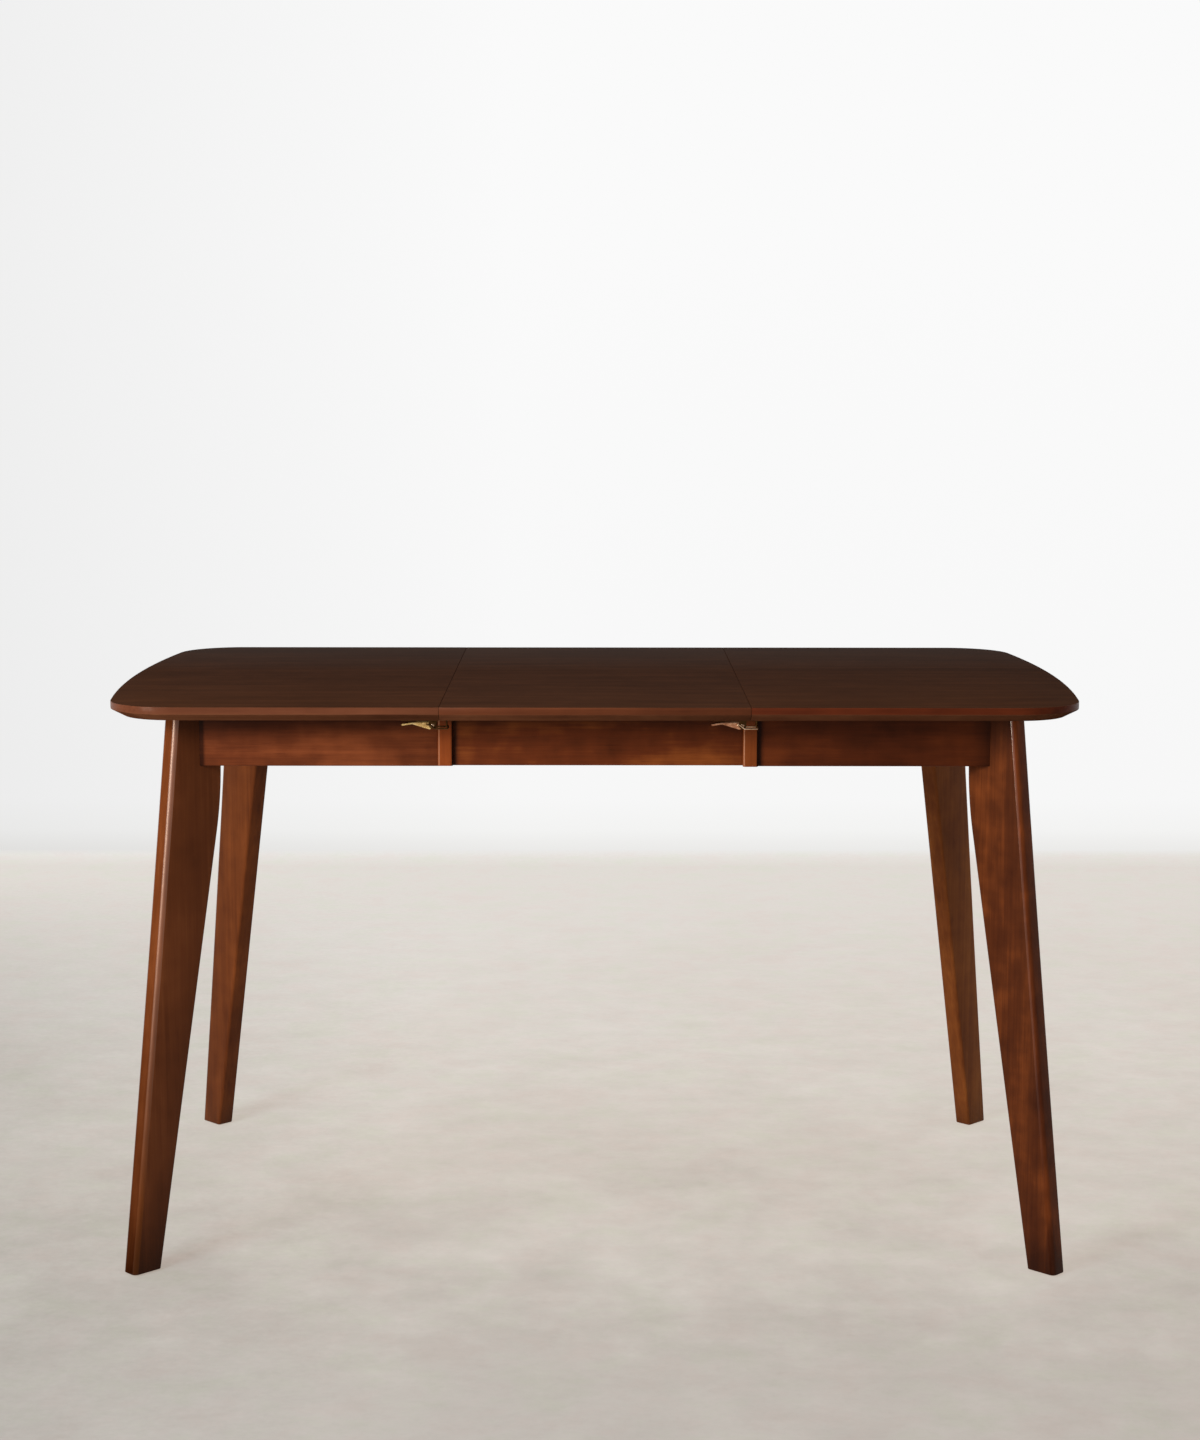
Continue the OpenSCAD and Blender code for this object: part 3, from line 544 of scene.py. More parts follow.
# The rims grow darker and redder from left to right, partly as painted shade of the light
# falling off towards the right
RIM_TONES = {
    "left": [srgb(80, 43, 27), srgb(103, 59, 39), srgb(123, 74, 50)],
    "leaf": [srgb(69, 34, 18), srgb(92, 48, 27), srgb(112, 62, 38)],
    "right": [srgb(62, 23, 8), srgb(86, 35, 14), srgb(106, 46, 20)],
}
rim_wood = {
    part: wood(
        f"walnut_stain_{part}_rim", tones, start=(move, 0.4, 0.2), streaks=110, blotch=0.35
    )
    for (part, tones), move in zip(RIM_TONES.items(), (0.1, 2.9, 4.7))
}
UNDER_TONES = [srgb(80, 47, 32), srgb(102, 63, 43), srgb(121, 78, 54)]
under_wood = wood(
    "walnut_stain_under_bevel",
    UNDER_TONES,
    start=(2, 3, 0),
    roughness=0.5,
    coat=0.0,
    shine=0.0,
    # Painted shade: the under-bevel darkens towards the right, away from the light
    shades=[(X, -0.45, 0.6, 0.42)],
)
# The tops' front arris is painted lighter than the rim, a painted highlight under its coat
ARRIS_TONES = [srgb(96, 50, 28), srgb(124, 70, 42), srgb(150, 92, 60)]
arris_highlight_wood = wood(
    "walnut_stain_arris", ARRIS_TONES, start=(1, 0, 0), streaks=200, roughness=0.3, coat=0.45
)
# Dark in the joints; on the cover strips' far arrises it is painted shade
JOINT_TONES = [srgb(34, 19, 13), srgb(46, 27, 18), srgb(57, 35, 23)]
joint_and_shade_wood = wood(
    "walnut_stain_joint", JOINT_TONES, "y", (1, 1, 0), roughness=0.6, coat=0.0, shine=0.0
)

# The right-hand aprons are darker, partly as painted shade of the light falling off towards the
# right
APRON_TONES = {
    "left": [srgb(66, 29, 14), srgb(99, 48, 24), srgb(134, 70, 38)],
    "leaf": [srgb(64, 27, 9), srgb(97, 44, 18), srgb(142, 76, 32)],
    "right": [srgb(56, 22, 6), srgb(80, 34, 12), srgb(104, 48, 18)],
}
# Painted shade on the aprons: under the top, beside the strips and against the legs
PAST_STRIP = STRIP_W - STRIP_LAP
APRON_SHADES = {
    "left": [
        (Z, UNDER_Z - 0.03, UNDER_Z - 0.005, 0.9),
        (X, 0.009 - APRON_END, 0.005 - APRON_END, 0.75),
    ],
    "leaf": [
        (Z, UNDER_Z - 0.024, UNDER_Z - 0.004, 0.9),
        (X, PAST_STRIP + 0.01 - SEAM_X, PAST_STRIP + 0.003 - SEAM_X, 0.75),
    ],
    "right": [
        (X, PAST_STRIP + 0.01 + SEAM_X, PAST_STRIP + 0.003 + SEAM_X, 0.75),
        (X, APRON_END - 0.03, APRON_END - 0.004, 0.6),
    ],
}
apron_wood = {
    part: wood(
        f"walnut_stain_{part}_apron",
        tones,
        start=(move, move * 0.7, 0),
        streaks=90,
        figure=0.3,
        blotch=0.7,
        roughness=0.42,
        shades=APRON_SHADES[part],
    )
    for (part, tones), move in zip(APRON_TONES.items(), (0.4, 2.2, 5.3))
}
end_apron_wood = wood(
    "walnut_stain_end_apron", APRON_TONES["leaf"], "y", (3, 1, 0), streaks=90, blotch=0.75
)
STRIP_TONES = {
    "leaf": [srgb(108, 47, 17), srgb(142, 70, 29), srgb(166, 90, 44)],
    "right": [srgb(90, 39, 12), srgb(121, 59, 22), srgb(145, 77, 34)],
}
strip_wood = {
    owner: wood(
        f"walnut_stain_{owner}_strip",
        tones,
        "z",
        (0.6, 0.2, 0),
        streaks=150,
        roughness=0.3,
        coat=0.15,
        # Painted shade under the top
        shades=[(Z, UNDER_Z - 0.018, UNDER_Z - 0.003, 0.6)],
    )
    for owner, tones in STRIP_TONES.items()
}
# The strips' lit arris is painted lighter, a painted highlight
STRIP_HIGHLIGHT_TONES = [srgb(132, 84, 58), srgb(164, 112, 84), srgb(190, 140, 110)]
strip_highlight_wood = wood(
    "walnut_stain_highlight_arris", STRIP_HIGHLIGHT_TONES, "z", streaks=150, roughness=0.35, coat=0.2
)
LEG_TONES = {
    ("left", "front"): [srgb(78, 38, 17), srgb(101, 53, 26), srgb(124, 69, 37)],
    ("left", "back"): [srgb(77, 36, 15), srgb(104, 54, 24), srgb(130, 70, 33)],
    ("right", "front"): [srgb(58, 24, 9), srgb(83, 39, 15), srgb(119, 60, 25)],
    ("right", "back"): [srgb(93, 46, 18), srgb(124, 68, 29), srgb(152, 91, 41)],
}
# Where each leg is darker towards its foot: painted shade, and near the floor also end grain
FOOT_SHADES = {
    ("left", "front"): [(Z, 0.42, 0.05, 0.35), (Z, 0.1, 0.0, 0.6)],
    ("left", "back"): [(Z, 0.06, 0.0, 0.4)],
    ("right", "front"): [(Z, 0.08, 0.0, 0.45)],
    ("right", "back"): [(Z, 0.06, 0.0, 0.4)],
}
LEG_BLOTCH = {
    ("left", "front"): 0.4,
    ("left", "back"): 0.5,
    ("right", "front"): 0.85,
    ("right", "back"): 0.6,
}


def leg_finish(side, row, place, strength=1.0, shades=(), **lacquer):
    """The stain of one leg, darker towards the foot: painted shade, and end grain at the foot.
    """
    tones = [(*(c * strength for c in tone[:3]), 1.0) for tone in LEG_TONES[side, row]]
    return wood(
        f"walnut_stain_{side}_leg_{row}_{place}",
        tones,
        "z",
        (0.9 * SIDES[side], 1.3 * ROWS[row], 0.4 * SIDES[side] * ROWS[row]),
        streaks=130,
        figure=0.3,
        blotch=LEG_BLOTCH[side, row],
        shades=[*shades, *FOOT_SHADES[side, row]],
        **lacquer,
    )


# Painted shade on the head of each leg, under the top
HEAD_SHADE = (Z, UNDER_Z - 0.05, UNDER_Z - 0.003, 0.55)
leg_wood = {
    key: leg_finish(*key, "faces", shades=[HEAD_SHADE], roughness=0.4, coat=0.06)
    for key in LEG_TONES
}
# How much lighter than its faces a leg's outer face and arrises are painted, as painted
# light, and where painted shade darkens them
EDGE_SHADES = {
    "left": (1.15, [(Z, 0.7, 0.25, 0.36)]),
    "right": (2.3, [(Z, 0.68, 0.5, 0.42), (Z, 0.3, 0.1, 0.4)]),
}
EDGE_SHINE = {"left": 0.0, "right": 0.1}
leg_edge_wood = {
    key: leg_finish(
        *key, "edge", *EDGE_SHADES[key[0]], roughness=0.4, coat=0.0, shine=EDGE_SHINE[key[0]]
    )
    for key in LEG_TONES
}
ARRIS_LACQUER = {
    "left": {
        "coat": 1.0,
        "coat_roughness": 0.37,
        "coat_rise": (0.1, 0.62),
        "roughness": 0.32,
        "shine": 0.6,
        "shine_tint": srgb(255, 170, 105),
    },
    "right": {"coat": 1.0, "coat_roughness": 0.16, "coat_rise": (0.1, 0.68), "roughness": 0.4},
}
# The arrises get the edge's painted light, under a clear coat that catches the lamps
leg_arris_wood = {
    key: leg_finish(*key, "arris", *EDGE_SHADES[key[0]], coat_ior=1.9, **ARRIS_LACQUER[key[0]])
    for key in LEG_TONES
}
BEECH = [srgb(150, 112, 74), srgb(186, 149, 107), srgb(208, 175, 134)]
beech_x = wood(
    "plain_beech_lengthwise", BEECH, streaks=40, pores=0.9, blotch=0.3, roughness=0.6, coat=0.0
)
beech_y = wood(
    "plain_beech_blocks", BEECH, "y", streaks=40, pores=0.9, blotch=0.3, roughness=0.6, coat=0.0
)
brass = metal(
    "satin_brass",
    [srgb(172, 130, 70), srgb(240, 202, 132), srgb(252, 228, 172)],
    0.28,
    bright=0.55,
)
# Brass darkened as painted shade, for the catch plates, keepers, screws and left bails under the
# top
shaded_brass = metal(
    "brass_in_painted_shade", [srgb(52, 34, 18), srgb(84, 58, 30), srgb(116, 86, 48)], 0.4
)
# The leaf's levers: brass reddened by a painted reflection of the wood
brass_with_painted_red_reflection = metal(
    "brass_with_painted_red_reflection",
    [srgb(128, 76, 50), srgb(204, 142, 106), srgb(236, 190, 154)],
    0.3,
    bright=0.6,
)
wire_brass = metal(
    "bright_wire", [srgb(150, 112, 84), srgb(228, 190, 154), srgb(248, 222, 196)], 0.2
)
zinc = metal(
    "zinc_plated_steel", [srgb(120, 122, 122), srgb(168, 170, 168), srgb(196, 198, 196)], 0.34
)


def glide_plastic():
    """Dark moulded plastic, dusty from the floor."""
    paint = Finish("glide_plastic")
    pebble = paint.noise(paint.here, 1400, 2)
    dust = paint.noise(paint.here, 90, 3)
    colour = paint.colours(dust, [(0.3, srgb(38, 34, 32)), (0.8, srgb(66, 60, 55))])
    return paint.surface(
        Base_Color=colour,
        Roughness=0.6 + pebble * 0.15,
        Normal=paint.bump(pebble, 0.25, FINE_DEPTH),
    )


plastic = glide_plastic()


# The tops


def edge_test(height):
    """A test for edges that lie level at a height, away from the seams."""
    return lambda e: all_at(Z, height)(e) and not near_seam(e)


def near_seam(edge):
    """Whether an edge bounds a seam face."""
    return all(near(abs(v.co.x), SEAM_X, SEAM_SLACK) for v in edge.verts)


def shaped_edge(board):
    """Draws the underside in to the under-bevel."""
    pick(board, "faces", lambda f: f.normal.z < -0.9)
    bpy.ops.mesh.inset(thickness=BEVEL_IN, depth=0)
    bpy.ops.transform.translate(value=(0, 0, UNDER_Z - EDGE_Z))


def eased_board(board):
    """Rounds the arrises of a board: fine at the seams, fuller along its edges."""
    ease(board, SEAM_ARRIS, 2, lambda e: near_seam(e) and sharp(e))
    ease(board, TOP_ARRIS, 4, edge_test(TOP_Z))
    ease(board, EDGE_ARRIS, 3, edge_test(EDGE_Z))
    ease(board, UNDER_ARRIS, 2, edge_test(UNDER_Z))
    done()


def half_board():
    """The right half's board: a bowed end with round corners, cut off at its seam."""
    centre_x = TIP_X - BOW_R
    corner_y = SIDE_Y - CORNER_R
    corner_x = centre_x + math.sqrt((BOW_R - CORNER_R) ** 2 - corner_y**2)
    bow_y = BOW_R * corner_y / (BOW_R - CORNER_R)
    past = SEAM_X - OVERSIZE
    middle = box_of((past, -SIDE_Y, EDGE_Z), (corner_x, SIDE_Y, TOP_Z))
    bow = disc_of(BOW_R, (centre_x, 0), EDGE_Z, TOP_Z, BOW_SIDES)
    edit(bow)
    cut((past, 0, 0), (-1, 0, 0))
    cut((0, bow_y, 0), (0, 1, 0))
    cut((0, -bow_y, 0), (0, -1, 0))
    done()
    corners = [
        disc_of(CORNER_R, (corner_x, side * corner_y), EDGE_Z, TOP_Z, CORNER_SIDES)
        for side in (-1, 1)
    ]
    board = joined([middle, bow, *corners])
    edit(board)
    bpy.ops.mesh.convex_hull()
    bpy.ops.mesh.select_all(action="SELECT")
    bpy.ops.mesh.remove_doubles(threshold=2e-5)
    bpy.ops.mesh.dissolve_limited(angle_limit=0.001)
    shaped_edge(board)
    cut((SEAM_X + SEAM_GAP, 0, 0), (-1, 0, 0))
    return board


def leaf_board():
    """The leaf's board, cut off at both seams."""
    edge_x = SEAM_X - SEAM_GAP
    past = SEAM_X + OVERSIZE
    board = box_of((-past, -SIDE_Y, EDGE_Z), (past, SIDE_Y, TOP_Z))
    edit(board)
    shaped_edge(board)
    cut((edge_x, 0, 0), (1, 0, 0))
    cut((-edge_x, 0, 0), (-1, 0, 0))
    return board


def dowel_cutters(seam):
    """Cutters for the row of dowel holes that run to the right from a seam face."""
    cutters = []
    depth = DOWEL_HOLE_DEPTH + CUTTER_PROUD
    middle = seam + (DOWEL_HOLE_DEPTH - depth / 2)
    for y in DOWEL_YS:
        bpy.ops.object.select_all(action="DESELECT")
        bpy.ops.mesh.primitive_cylinder_add(
            vertices=HOLE_SIDES,
            radius=DOWEL_HOLE_R,
            depth=depth,
            location=(middle, y, (TOP_Z + UNDER_Z) / 2),
            rotation=(0, math.pi / 2, 0),
        )
        settle(bpy.context.object)
        cutters.append(bpy.context.object)
    return cutters


right_board = half_board()
eased_board(right_board)
left_board = copied(right_board, (-1, 1, 1))
bore(right_board, dowel_cutters(SEAM_X + SEAM_GAP))
leaf = leaf_board()
eased_board(leaf)
bore(leaf, dowel_cutters(-SEAM_X + SEAM_GAP))
BOARDS = {
    "right": (right_board, "right_half"),
    "left": (left_board, "left_half"),
    "leaf": (leaf, "centre"),
}
for part, (board, body) in BOARDS.items():
    finish(board, f"top_{part}_board", body, top_wood[part], "top_wood", [f"{part}_top"])
    # The rim, the arris above it with its painted highlight, the under-bevel with its painted
    # shade, and the seam faces
    paint_faces(board, rim_wood[part], facing(Z, -0.2, 0.2))
    paint_faces(board, arris_highlight_wood, facing(Z, 0.2, 0.75))
    paint_faces(board, under_wood, facing(Z, -0.99, -0.2))
    paint_faces(board, joint_and_shade_wood, lambda f: near(abs(f.center.x), SEAM_X, 5e-4))


# Aprons and strips


def below_top(edge):
    """Whether an apron's edge reaches down from the underside of the top."""
    return min(v.co.z for v in edge.verts) < UNDER_Z - EASED_BELOW


def side_apron():
    """The back right-hand side apron, mitred against the leg's wide face."""
    low = UNDER_Z - APRON_H
    near_corner = (SEAM_X + SEAM_GAP, APRON_Y - APRON_T, low)
    apron = box_of(near_corner, (APRON_END, APRON_Y, UNDER_Z))
    edit(apron)
    cut((APRON_END, APRON_Y, 0), (1, -1, 0))
    ease(apron, APRON_ARRIS, 3, lambda e: sharp(e) and below_top(e))
    done()
    return apron


def end_apron():
    """The right end apron, mitred against both of its legs."""
    far = LEG_Y - MITRE_BACK
    low = UNDER_Z - APRON_H
    apron = box_of((APRON_X - APRON_T, -far, low), (APRON_X, far, UNDER_Z))
    edit(apron)
    cut((APRON_X, far, 0), (-1, 1, 0))
    cut((APRON_X, -far, 0), (-1, -1, 0))
    ease(apron, APRON_ARRIS, 3, lambda e: sharp(e) and below_top(e))
    done()
    return apron


def leaf_apron():
    """The leaf's back apron, from seam to seam."""
    edge_x = SEAM_X - SEAM_GAP
    low = UNDER_Z - LEAF_APRON_H
    apron = box_of((-edge_x, APRON_Y - APRON_T, low), (edge_x, APRON_Y, UNDER_Z))
    edit(apron)
    ease(apron, APRON_ARRIS, 3, below_top)
    done()
    return apron


def strip(seam, carrier_x, height):
    """A back cover strip: rounded at its face, and relieved where it laps the next apron."""
    low = UNDER_Z - height
    start = seam - STRIP_LAP
    face_y = APRON_Y + STRIP_T
    piece = box_of((start, APRON_Y, low), (start + STRIP_W, face_y, UNDER_Z))
    edit(piece)
    ease(piece, STRIP_ARRIS, 6, lambda e: all_at(Y, face_y)(e) and upright(e))
    ease(piece, STRIP_END_ARRIS, 2, lambda e: all_at(Z, low)(e) and sharp(e))
    done()
    relief = box_of(
        (start - STRIP_LAP, APRON_Y - STRIP_T, low - STRIP_T),
        (carrier_x, APRON_Y + STRIP_RELIEF, UNDER_Z + STRIP_T),
    )
    bore(piece, [relief])
    return piece


def upright(edge):
    """Whether an edge stands upright."""
    a, b = (v.co for v in edge.verts)
    return near(a.x, b.x) and near(a.y, b.y)


apron = side_apron()
for side, s in SIDES.items():
    for row, r in ROWS.items():
        piece = finish(
            copied(apron, (s, r, 1)),
            f"apron_{side}_{row}",
            f"{side}_half",
            apron_wood[side],
            "apron_wood",
            [f"{side}_apron_{row}"],
        )
        # The mitre against the leg
        paint_faces(piece, joint_and_shade_wood, facing(X, *sorted((0.35 * s, 0.99 * s))))
bpy.data.objects.remove(apron)

apron = end_apron()
for side, s in SIDES.items():
    finish(
        copied(apron, (s, 1, 1)),
        f"apron_{side}_end",
        f"{side}_half",
        end_apron_wood,
        "apron_wood",
        [f"{side}_end_apron"],
    )
bpy.data.objects.remove(apron)

apron = leaf_apron()
for row, r in ROWS.items():
    finish(
        copied(apron, (1, r, 1)),
        f"apron_leaf_{row}",
        "centre",
        apron_wood["leaf"],
        "apron_wood",
        [f"leaf_apron_{row}"],
    )
bpy.data.objects.remove(apron)

# The seam, the place of its carrier's edge, the height and the body of each cover strip
STRIPS = {
    "leaf": (-SEAM_X, -SEAM_X + SEAM_GAP, LEAF_APRON_H, "centre"),
    "right": (SEAM_X, SEAM_X + SEAM_GAP, APRON_H, "right_half"),
}
for owner, (seam, carrier_x, height, body) in STRIPS.items():
    cover = strip(seam, carrier_x, height)
    for row, r in ROWS.items():
        piece = finish(
            copied(cover, (1, r, 1)),
            f"cover_strip_{owner}_{row}",
            body,
            strip_wood[owner],
            "strip_wood",
            [f"{owner}_strip_{row}"],
        )
        # The lit arris is painted lighter as a painted highlight, and the other one dark
        # as painted shade beside the strip
        paint_faces(piece, strip_highlight_wood, facing(X, -0.7, -0.2))
        paint_faces(piece, joint_and_shade_wood, facing(X, 0.5, 0.97))
    bpy.data.objects.remove(cover)


# Legs

knee_z = UNDER_Z - LEG_KNEE_DROP


def leg_out(z):
    """The leg's outer edge at a height, along the diagonal."""
    fall = (UNDER_Z - z) / UNDER_Z
    return LEG_SPLAY * fall + LEG_SABRE * fall**2


foot_in = leg_out(0) - LEG_FOOT_W
taper = (foot_in + LEG_HEAD_W) / knee_z
knee_t = LEG_KNEE_R * math.tan(math.atan(taper) / 2)
knee_top = knee_z + knee_t
knee_low = knee_z - knee_t * math.cos(math.atan(taper))


def leg_in(z):
    """The leg's inner edge: upright above its knee, tapering straight below it."""
    if z >= knee_top:
        return -LEG_HEAD_W
    if z <= knee_low:
        return foot_in - taper * z
    return -LEG_HEAD_W + LEG_KNEE_R - math.sqrt(LEG_KNEE_R**2 - (knee_top - z) ** 2)


def levels():
    """Heights at which the leg's outline is set, closest together in its knee."""
    low = [GLIDE_H + (knee_low - GLIDE_H) * i / TAPER_LEVELS for i in range(TAPER_LEVELS)]
    knee = [knee_low + (knee_top - knee_low) * i / KNEE_LEVELS for i in range(KNEE_LEVELS)]
    head = [knee_top + (UNDER_Z - knee_top) * i / HEAD_LEVELS for i in range(HEAD_LEVELS + 1)]
    return low + knee + head


def leg():
    """The back right-hand leg, drawn up from its foot level by level."""
    heights = levels()
    z = heights[0]
    bpy.ops.object.select_all(action="DESELECT")
    middle = (leg_in(z) + leg_out(z)) / 2
    bpy.ops.mesh.primitive_plane_add(size=1, location=(middle, 0, z))
    blade = bpy.context.object
    blade.scale = (leg_out(z) - leg_in(z), LEG_T, 1)
    settle(blade)
    edit(blade)
    for below, above in zip(heights, heights[1:]):
        old_w = leg_out(below) - leg_in(below)
        new_w = leg_out(above) - leg_in(above)
        old_u = (leg_out(below) + leg_in(below)) / 2
        new_u = (leg_out(above) + leg_in(above)) / 2
        bpy.ops.mesh.extrude_region_move(
            TRANSFORM_OT_translate={"value": (new_u - old_u, 0, above - below)}
        )
        bpy.ops.transform.resize(
            value=(new_w / old_w, 1, 1), center_override=(new_u, 0, above)
        )
    bpy.ops.mesh.select_all(action="SELECT")
    bpy.ops.mesh.normals_make_consistent(inside=False)
    ease(blade, LEG_OUTER_R, 8, lambda e: along_edge(e, leg_out))
    ease(blade, LEG_INNER_R, 6, lambda e: along_edge(e, leg_in))
    ease(blade, FOOT_ARRIS, 3, all_at(Z, GLIDE_H))
    done()
    blade.rotation_euler = (0, 0, math.pi / 4)
    blade.location = (LEG_X, LEG_Y, 0)
    settle(blade)
    return blade


def along_edge(edge, outline):
    """Whether an edge runs up one of the leg's arrises."""
    a, b = (v.co for v in edge.verts)
    on_line = near(a.x, outline(a.z), 2e-5) and near(b.x, outline(b.z), 2e-5)
    return on_line and near(abs(a.y), LEG_T / 2) and not near(a.z, b.z)


def turned_out(outward, low, high):
    """A test for faces by how squarely they face away from the middle of the table."""
    return lambda f: low < f.normal.dot(outward) < high


def on_arris(outward, high):
    """A test for the faces of a leg's two rounded outer arrises."""
    turned = turned_out(outward, 0.15, high)
    return lambda f: turned(f) and abs(f.normal.z) < 0.5


# How squarely the faces of an arris may face outwards
ARRIS_TURNS = {"left": 0.97, "right": 0.5}

blade = leg()
for side, s in SIDES.items():
    for row, r in ROWS.items():
        piece = finish(
            copied(blade, (s, r, 1)),
            f"leg_{side}_{row}",
            f"{side}_half",
            leg_wood[side, row],
            "leg_wood",
            [f"{side}_leg_{row}"],
            smooth=30,
        )
        outward = Vector((s, r, 0)).normalized()
        # The outer face and its arrises take lighter copies of the stain: painted light
        paint_faces(piece, leg_edge_wood[side, row], turned_out(outward, 0.5, 1.1))
        paint_faces(piece, leg_arris_wood[side, row], on_arris(outward, ARRIS_TURNS[side]))
bpy.data.objects.remove(blade)


# Inner pieces and fittings

# How far the corners of each kind of piece are eased
EASED = {
    "block": 0.0008,
    "rail": 0.0009,
    "beam": 0.0009,
    "glue block": 0.0007,
    "dowel": 0.0003,
    "bolt": 0.0003,
    "nut": 0.0004,
    "screw": 0.0002,
    "glide": 0.0003,
    "peg": 0.0004,
    "catch plate": 0.00022,
    "pin": 0.00012,
    "catch screw": 0.0001,
    "lever": 0.00025,
    "bail": 0.0001,
}
# A corner of those pieces is sharper than this, in degrees
EASED_ANGLE = 38
# Sizes of the cross recesses in the screws' heads, and the shape of such a recess: its
# arms' width and length in parts of its size, and its depth in parts of their width
SCREW_CROSS = 0.0042
CATCH_SCREW_CROSS = 0.0024
CROSS_WIDTH = 0.34
CROSS_ARM = 0.42
CROSS_DEPTH = 2.6


def eased(node, width, material, segments=2, smooth=32, recess=None):
    """A copy of a CAD piece with its corners eased, which stands for it."""
    cad = nodes[node]
    piece = bpy.data.objects.new(node + "_eased", cad.data.copy())
    bpy.context.scene.collection.objects.link(piece)
    only(piece)
    bpy.ops.mesh.customdata_custom_splitnormals_clear()
    edit(piece)
    bpy.ops.mesh.remove_doubles(threshold=1e-6)
    bpy.ops.mesh.dissolve_limited(angle_limit=math.radians(0.5))
    done()
    heads = head_faces(piece) if recess else []
    round_over = piece.modifiers.new("ease", "BEVEL")
    round_over.width = width
    round_over.segments = segments
    round_over.limit_method = "ANGLE"
    round_over.angle_limit = math.radians(EASED_ANGLE)
    bpy.ops.object.modifier_apply(modifier=round_over.name)
    if heads:
        bore(piece, [cross_cutter(head, recess) for head in heads])
    slot = next(s["material_slot"] for s in frame["record"]["subparts"] if s["node"] == node)
    finish(piece, piece.name, cad["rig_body"], material, slot, [node], smooth)


def head_faces(piece):
    """The middle and outward normal of the flat head of each screw in a piece."""
    mesh = bmesh.new()
    mesh.from_mesh(piece.data)
    left = set(mesh.faces)
    heads = []
    while left:
        grown = [left.pop()]
        for face in grown:
            for edge in face.edges:
                for other in edge.link_faces:
                    if other in left:
                        left.remove(other)
                        grown.append(other)
        head = max(grown, key=lambda f: f.calc_area())
        heads.append((head.calc_center_median().copy(), head.normal.copy()))
    mesh.free()
    return heads


def cross_cutter(head, size):
    """A cutter for the cross recess in a screw head."""
    middle, normal = head
    bpy.ops.object.select_all(action="DESELECT")
    bpy.ops.mesh.primitive_cube_add(size=size * CROSS_WIDTH)
    cutter = bpy.context.object
    edit(cutter)
    pick(cutter, "faces", lambda f: abs(f.normal.z) < 0.5)
    bpy.ops.mesh.extrude_faces_move(TRANSFORM_OT_shrink_fatten={"value": size * CROSS_ARM})
    done()
    cutter.scale = (1, 1, CROSS_DEPTH)
    cutter.rotation_mode = "QUATERNION"
    cutter.rotation_quaternion = normal.to_track_quat("Z", "Y")
    cutter.location = middle
    settle(cutter)
    return cutter


for side in SIDES:
    for row in ROWS:
        eased(f"{side}_block_{row}", EASED["block"], beech_y)
        eased(f"{side}_rail_{row}", EASED["rail"], beech_x)
for row in ROWS:
    eased(f"slide_beam_{row}", EASED["beam"], beech_x)
eased("leaf_glue_blocks", EASED["glue block"], beech_x)
eased("leaf_dowels", EASED["dowel"], beech_x)
eased("left_dowels", EASED["dowel"], beech_x)

for side in SIDES:
    eased(f"{side}_leg_bolts", EASED["bolt"], zinc)
    eased(f"{side}_leg_nuts", EASED["nut"], zinc)
    eased(f"{side}_block_screws", EASED["screw"], zinc, recess=SCREW_CROSS)
    eased(f"{side}_rail_screws", EASED["screw"], zinc, recess=SCREW_CROSS)
    eased(f"{side}_glides", EASED["glide"], plastic)
eased("slide_stop_pegs", EASED["peg"], zinc)

for node in ("left_catch_bases", "leaf_catch_bases", "leaf_keepers", "right_keepers"):
    eased(node, EASED["catch plate"], shaded_brass)
for node in ("left_lever_pins", "leaf_lever_pins"):
    eased(node, EASED["pin"], wire_brass)
for node in ("left_catch_screws", "leaf_catch_screws", "right_catch_screws"):
    eased(node, EASED["catch screw"], shaded_brass, recess=CATCH_SCREW_CROSS)
for owner, lever_metal, bail_metal in (
    ("left", brass, shaded_brass),
    ("leaf", brass_with_painted_red_reflection, wire_brass),
):
    for row in ROWS:
        eased(f"{owner}_lever_{row}", EASED["lever"], lever_metal, segments=3)
        eased(f"{owner}_bail_{row}", EASED["bail"], bail_metal, segments=1, smooth=50)


# Floor, light and camera


# The floor that the camera sees is lit paper, which carries the shadow, mixed with an even
# light of its own. These are that light's share and strength, and the tints of the two.
FLOOR_EVENNESS = 0.74
FLOOR_GLOW = 1.12
FLOOR_COOL = (0.66, 0.93, 1.13, 1.0)
FLOOR_WARM = (1.0, 0.915, 0.853, 1.0)
# Tones of the floor by their place along Y, and of the wall by their height
FLOOR_TONES = [
    (-1.5, srgb(192, 185, 179)),
    (-0.6, srgb(198, 191, 184)),
    (0.0, srgb(217, 211, 204)),
    (0.8, srgb(227, 222, 216)),
    (2.0, srgb(231, 228, 224)),
    (2.8, srgb(231, 229, 225)),
]
WALL_TONES = [
    (0.0, srgb(233, 232, 230)),
    (0.06, srgb(243, 243, 242)),
    (0.14, srgb(247, 247, 247)),
    (0.5, srgb(248, 248, 248)),
    (1.5, srgb(250, 250, 250)),
]
# Faint tints of the floor's speckle
FLOOR_TINTS = [
    (0.36, srgb(252, 255, 251)),
    (0.5, srgb(255, 255, 255)),
    (0.64, srgb(255, 252, 252)),
]
# The foot of the wall, the painted shade on the left side, and the floor's clouds
WALL_FOOT = srgb(239, 238, 236)
WALL_LEFT = srgb(243, 243, 243)
FLOOR_LEFT = srgb(211, 212, 212)
FLOOR_CLOUDS = srgb(246, 246, 245)
# The sheet: the wall's place, the radius of its foot, and how far it reaches
WALL_Y = 2.70
WALL_H = 6
COVE_R = 0.03
COVE_STEPS = 8
SHEET_W = 16
SHEET_REACH = 7
# The strength of the world's light on the table, and how much more of it the camera sees
SKY_LIGHT = 0.32
SKY_SEEN = 0.62


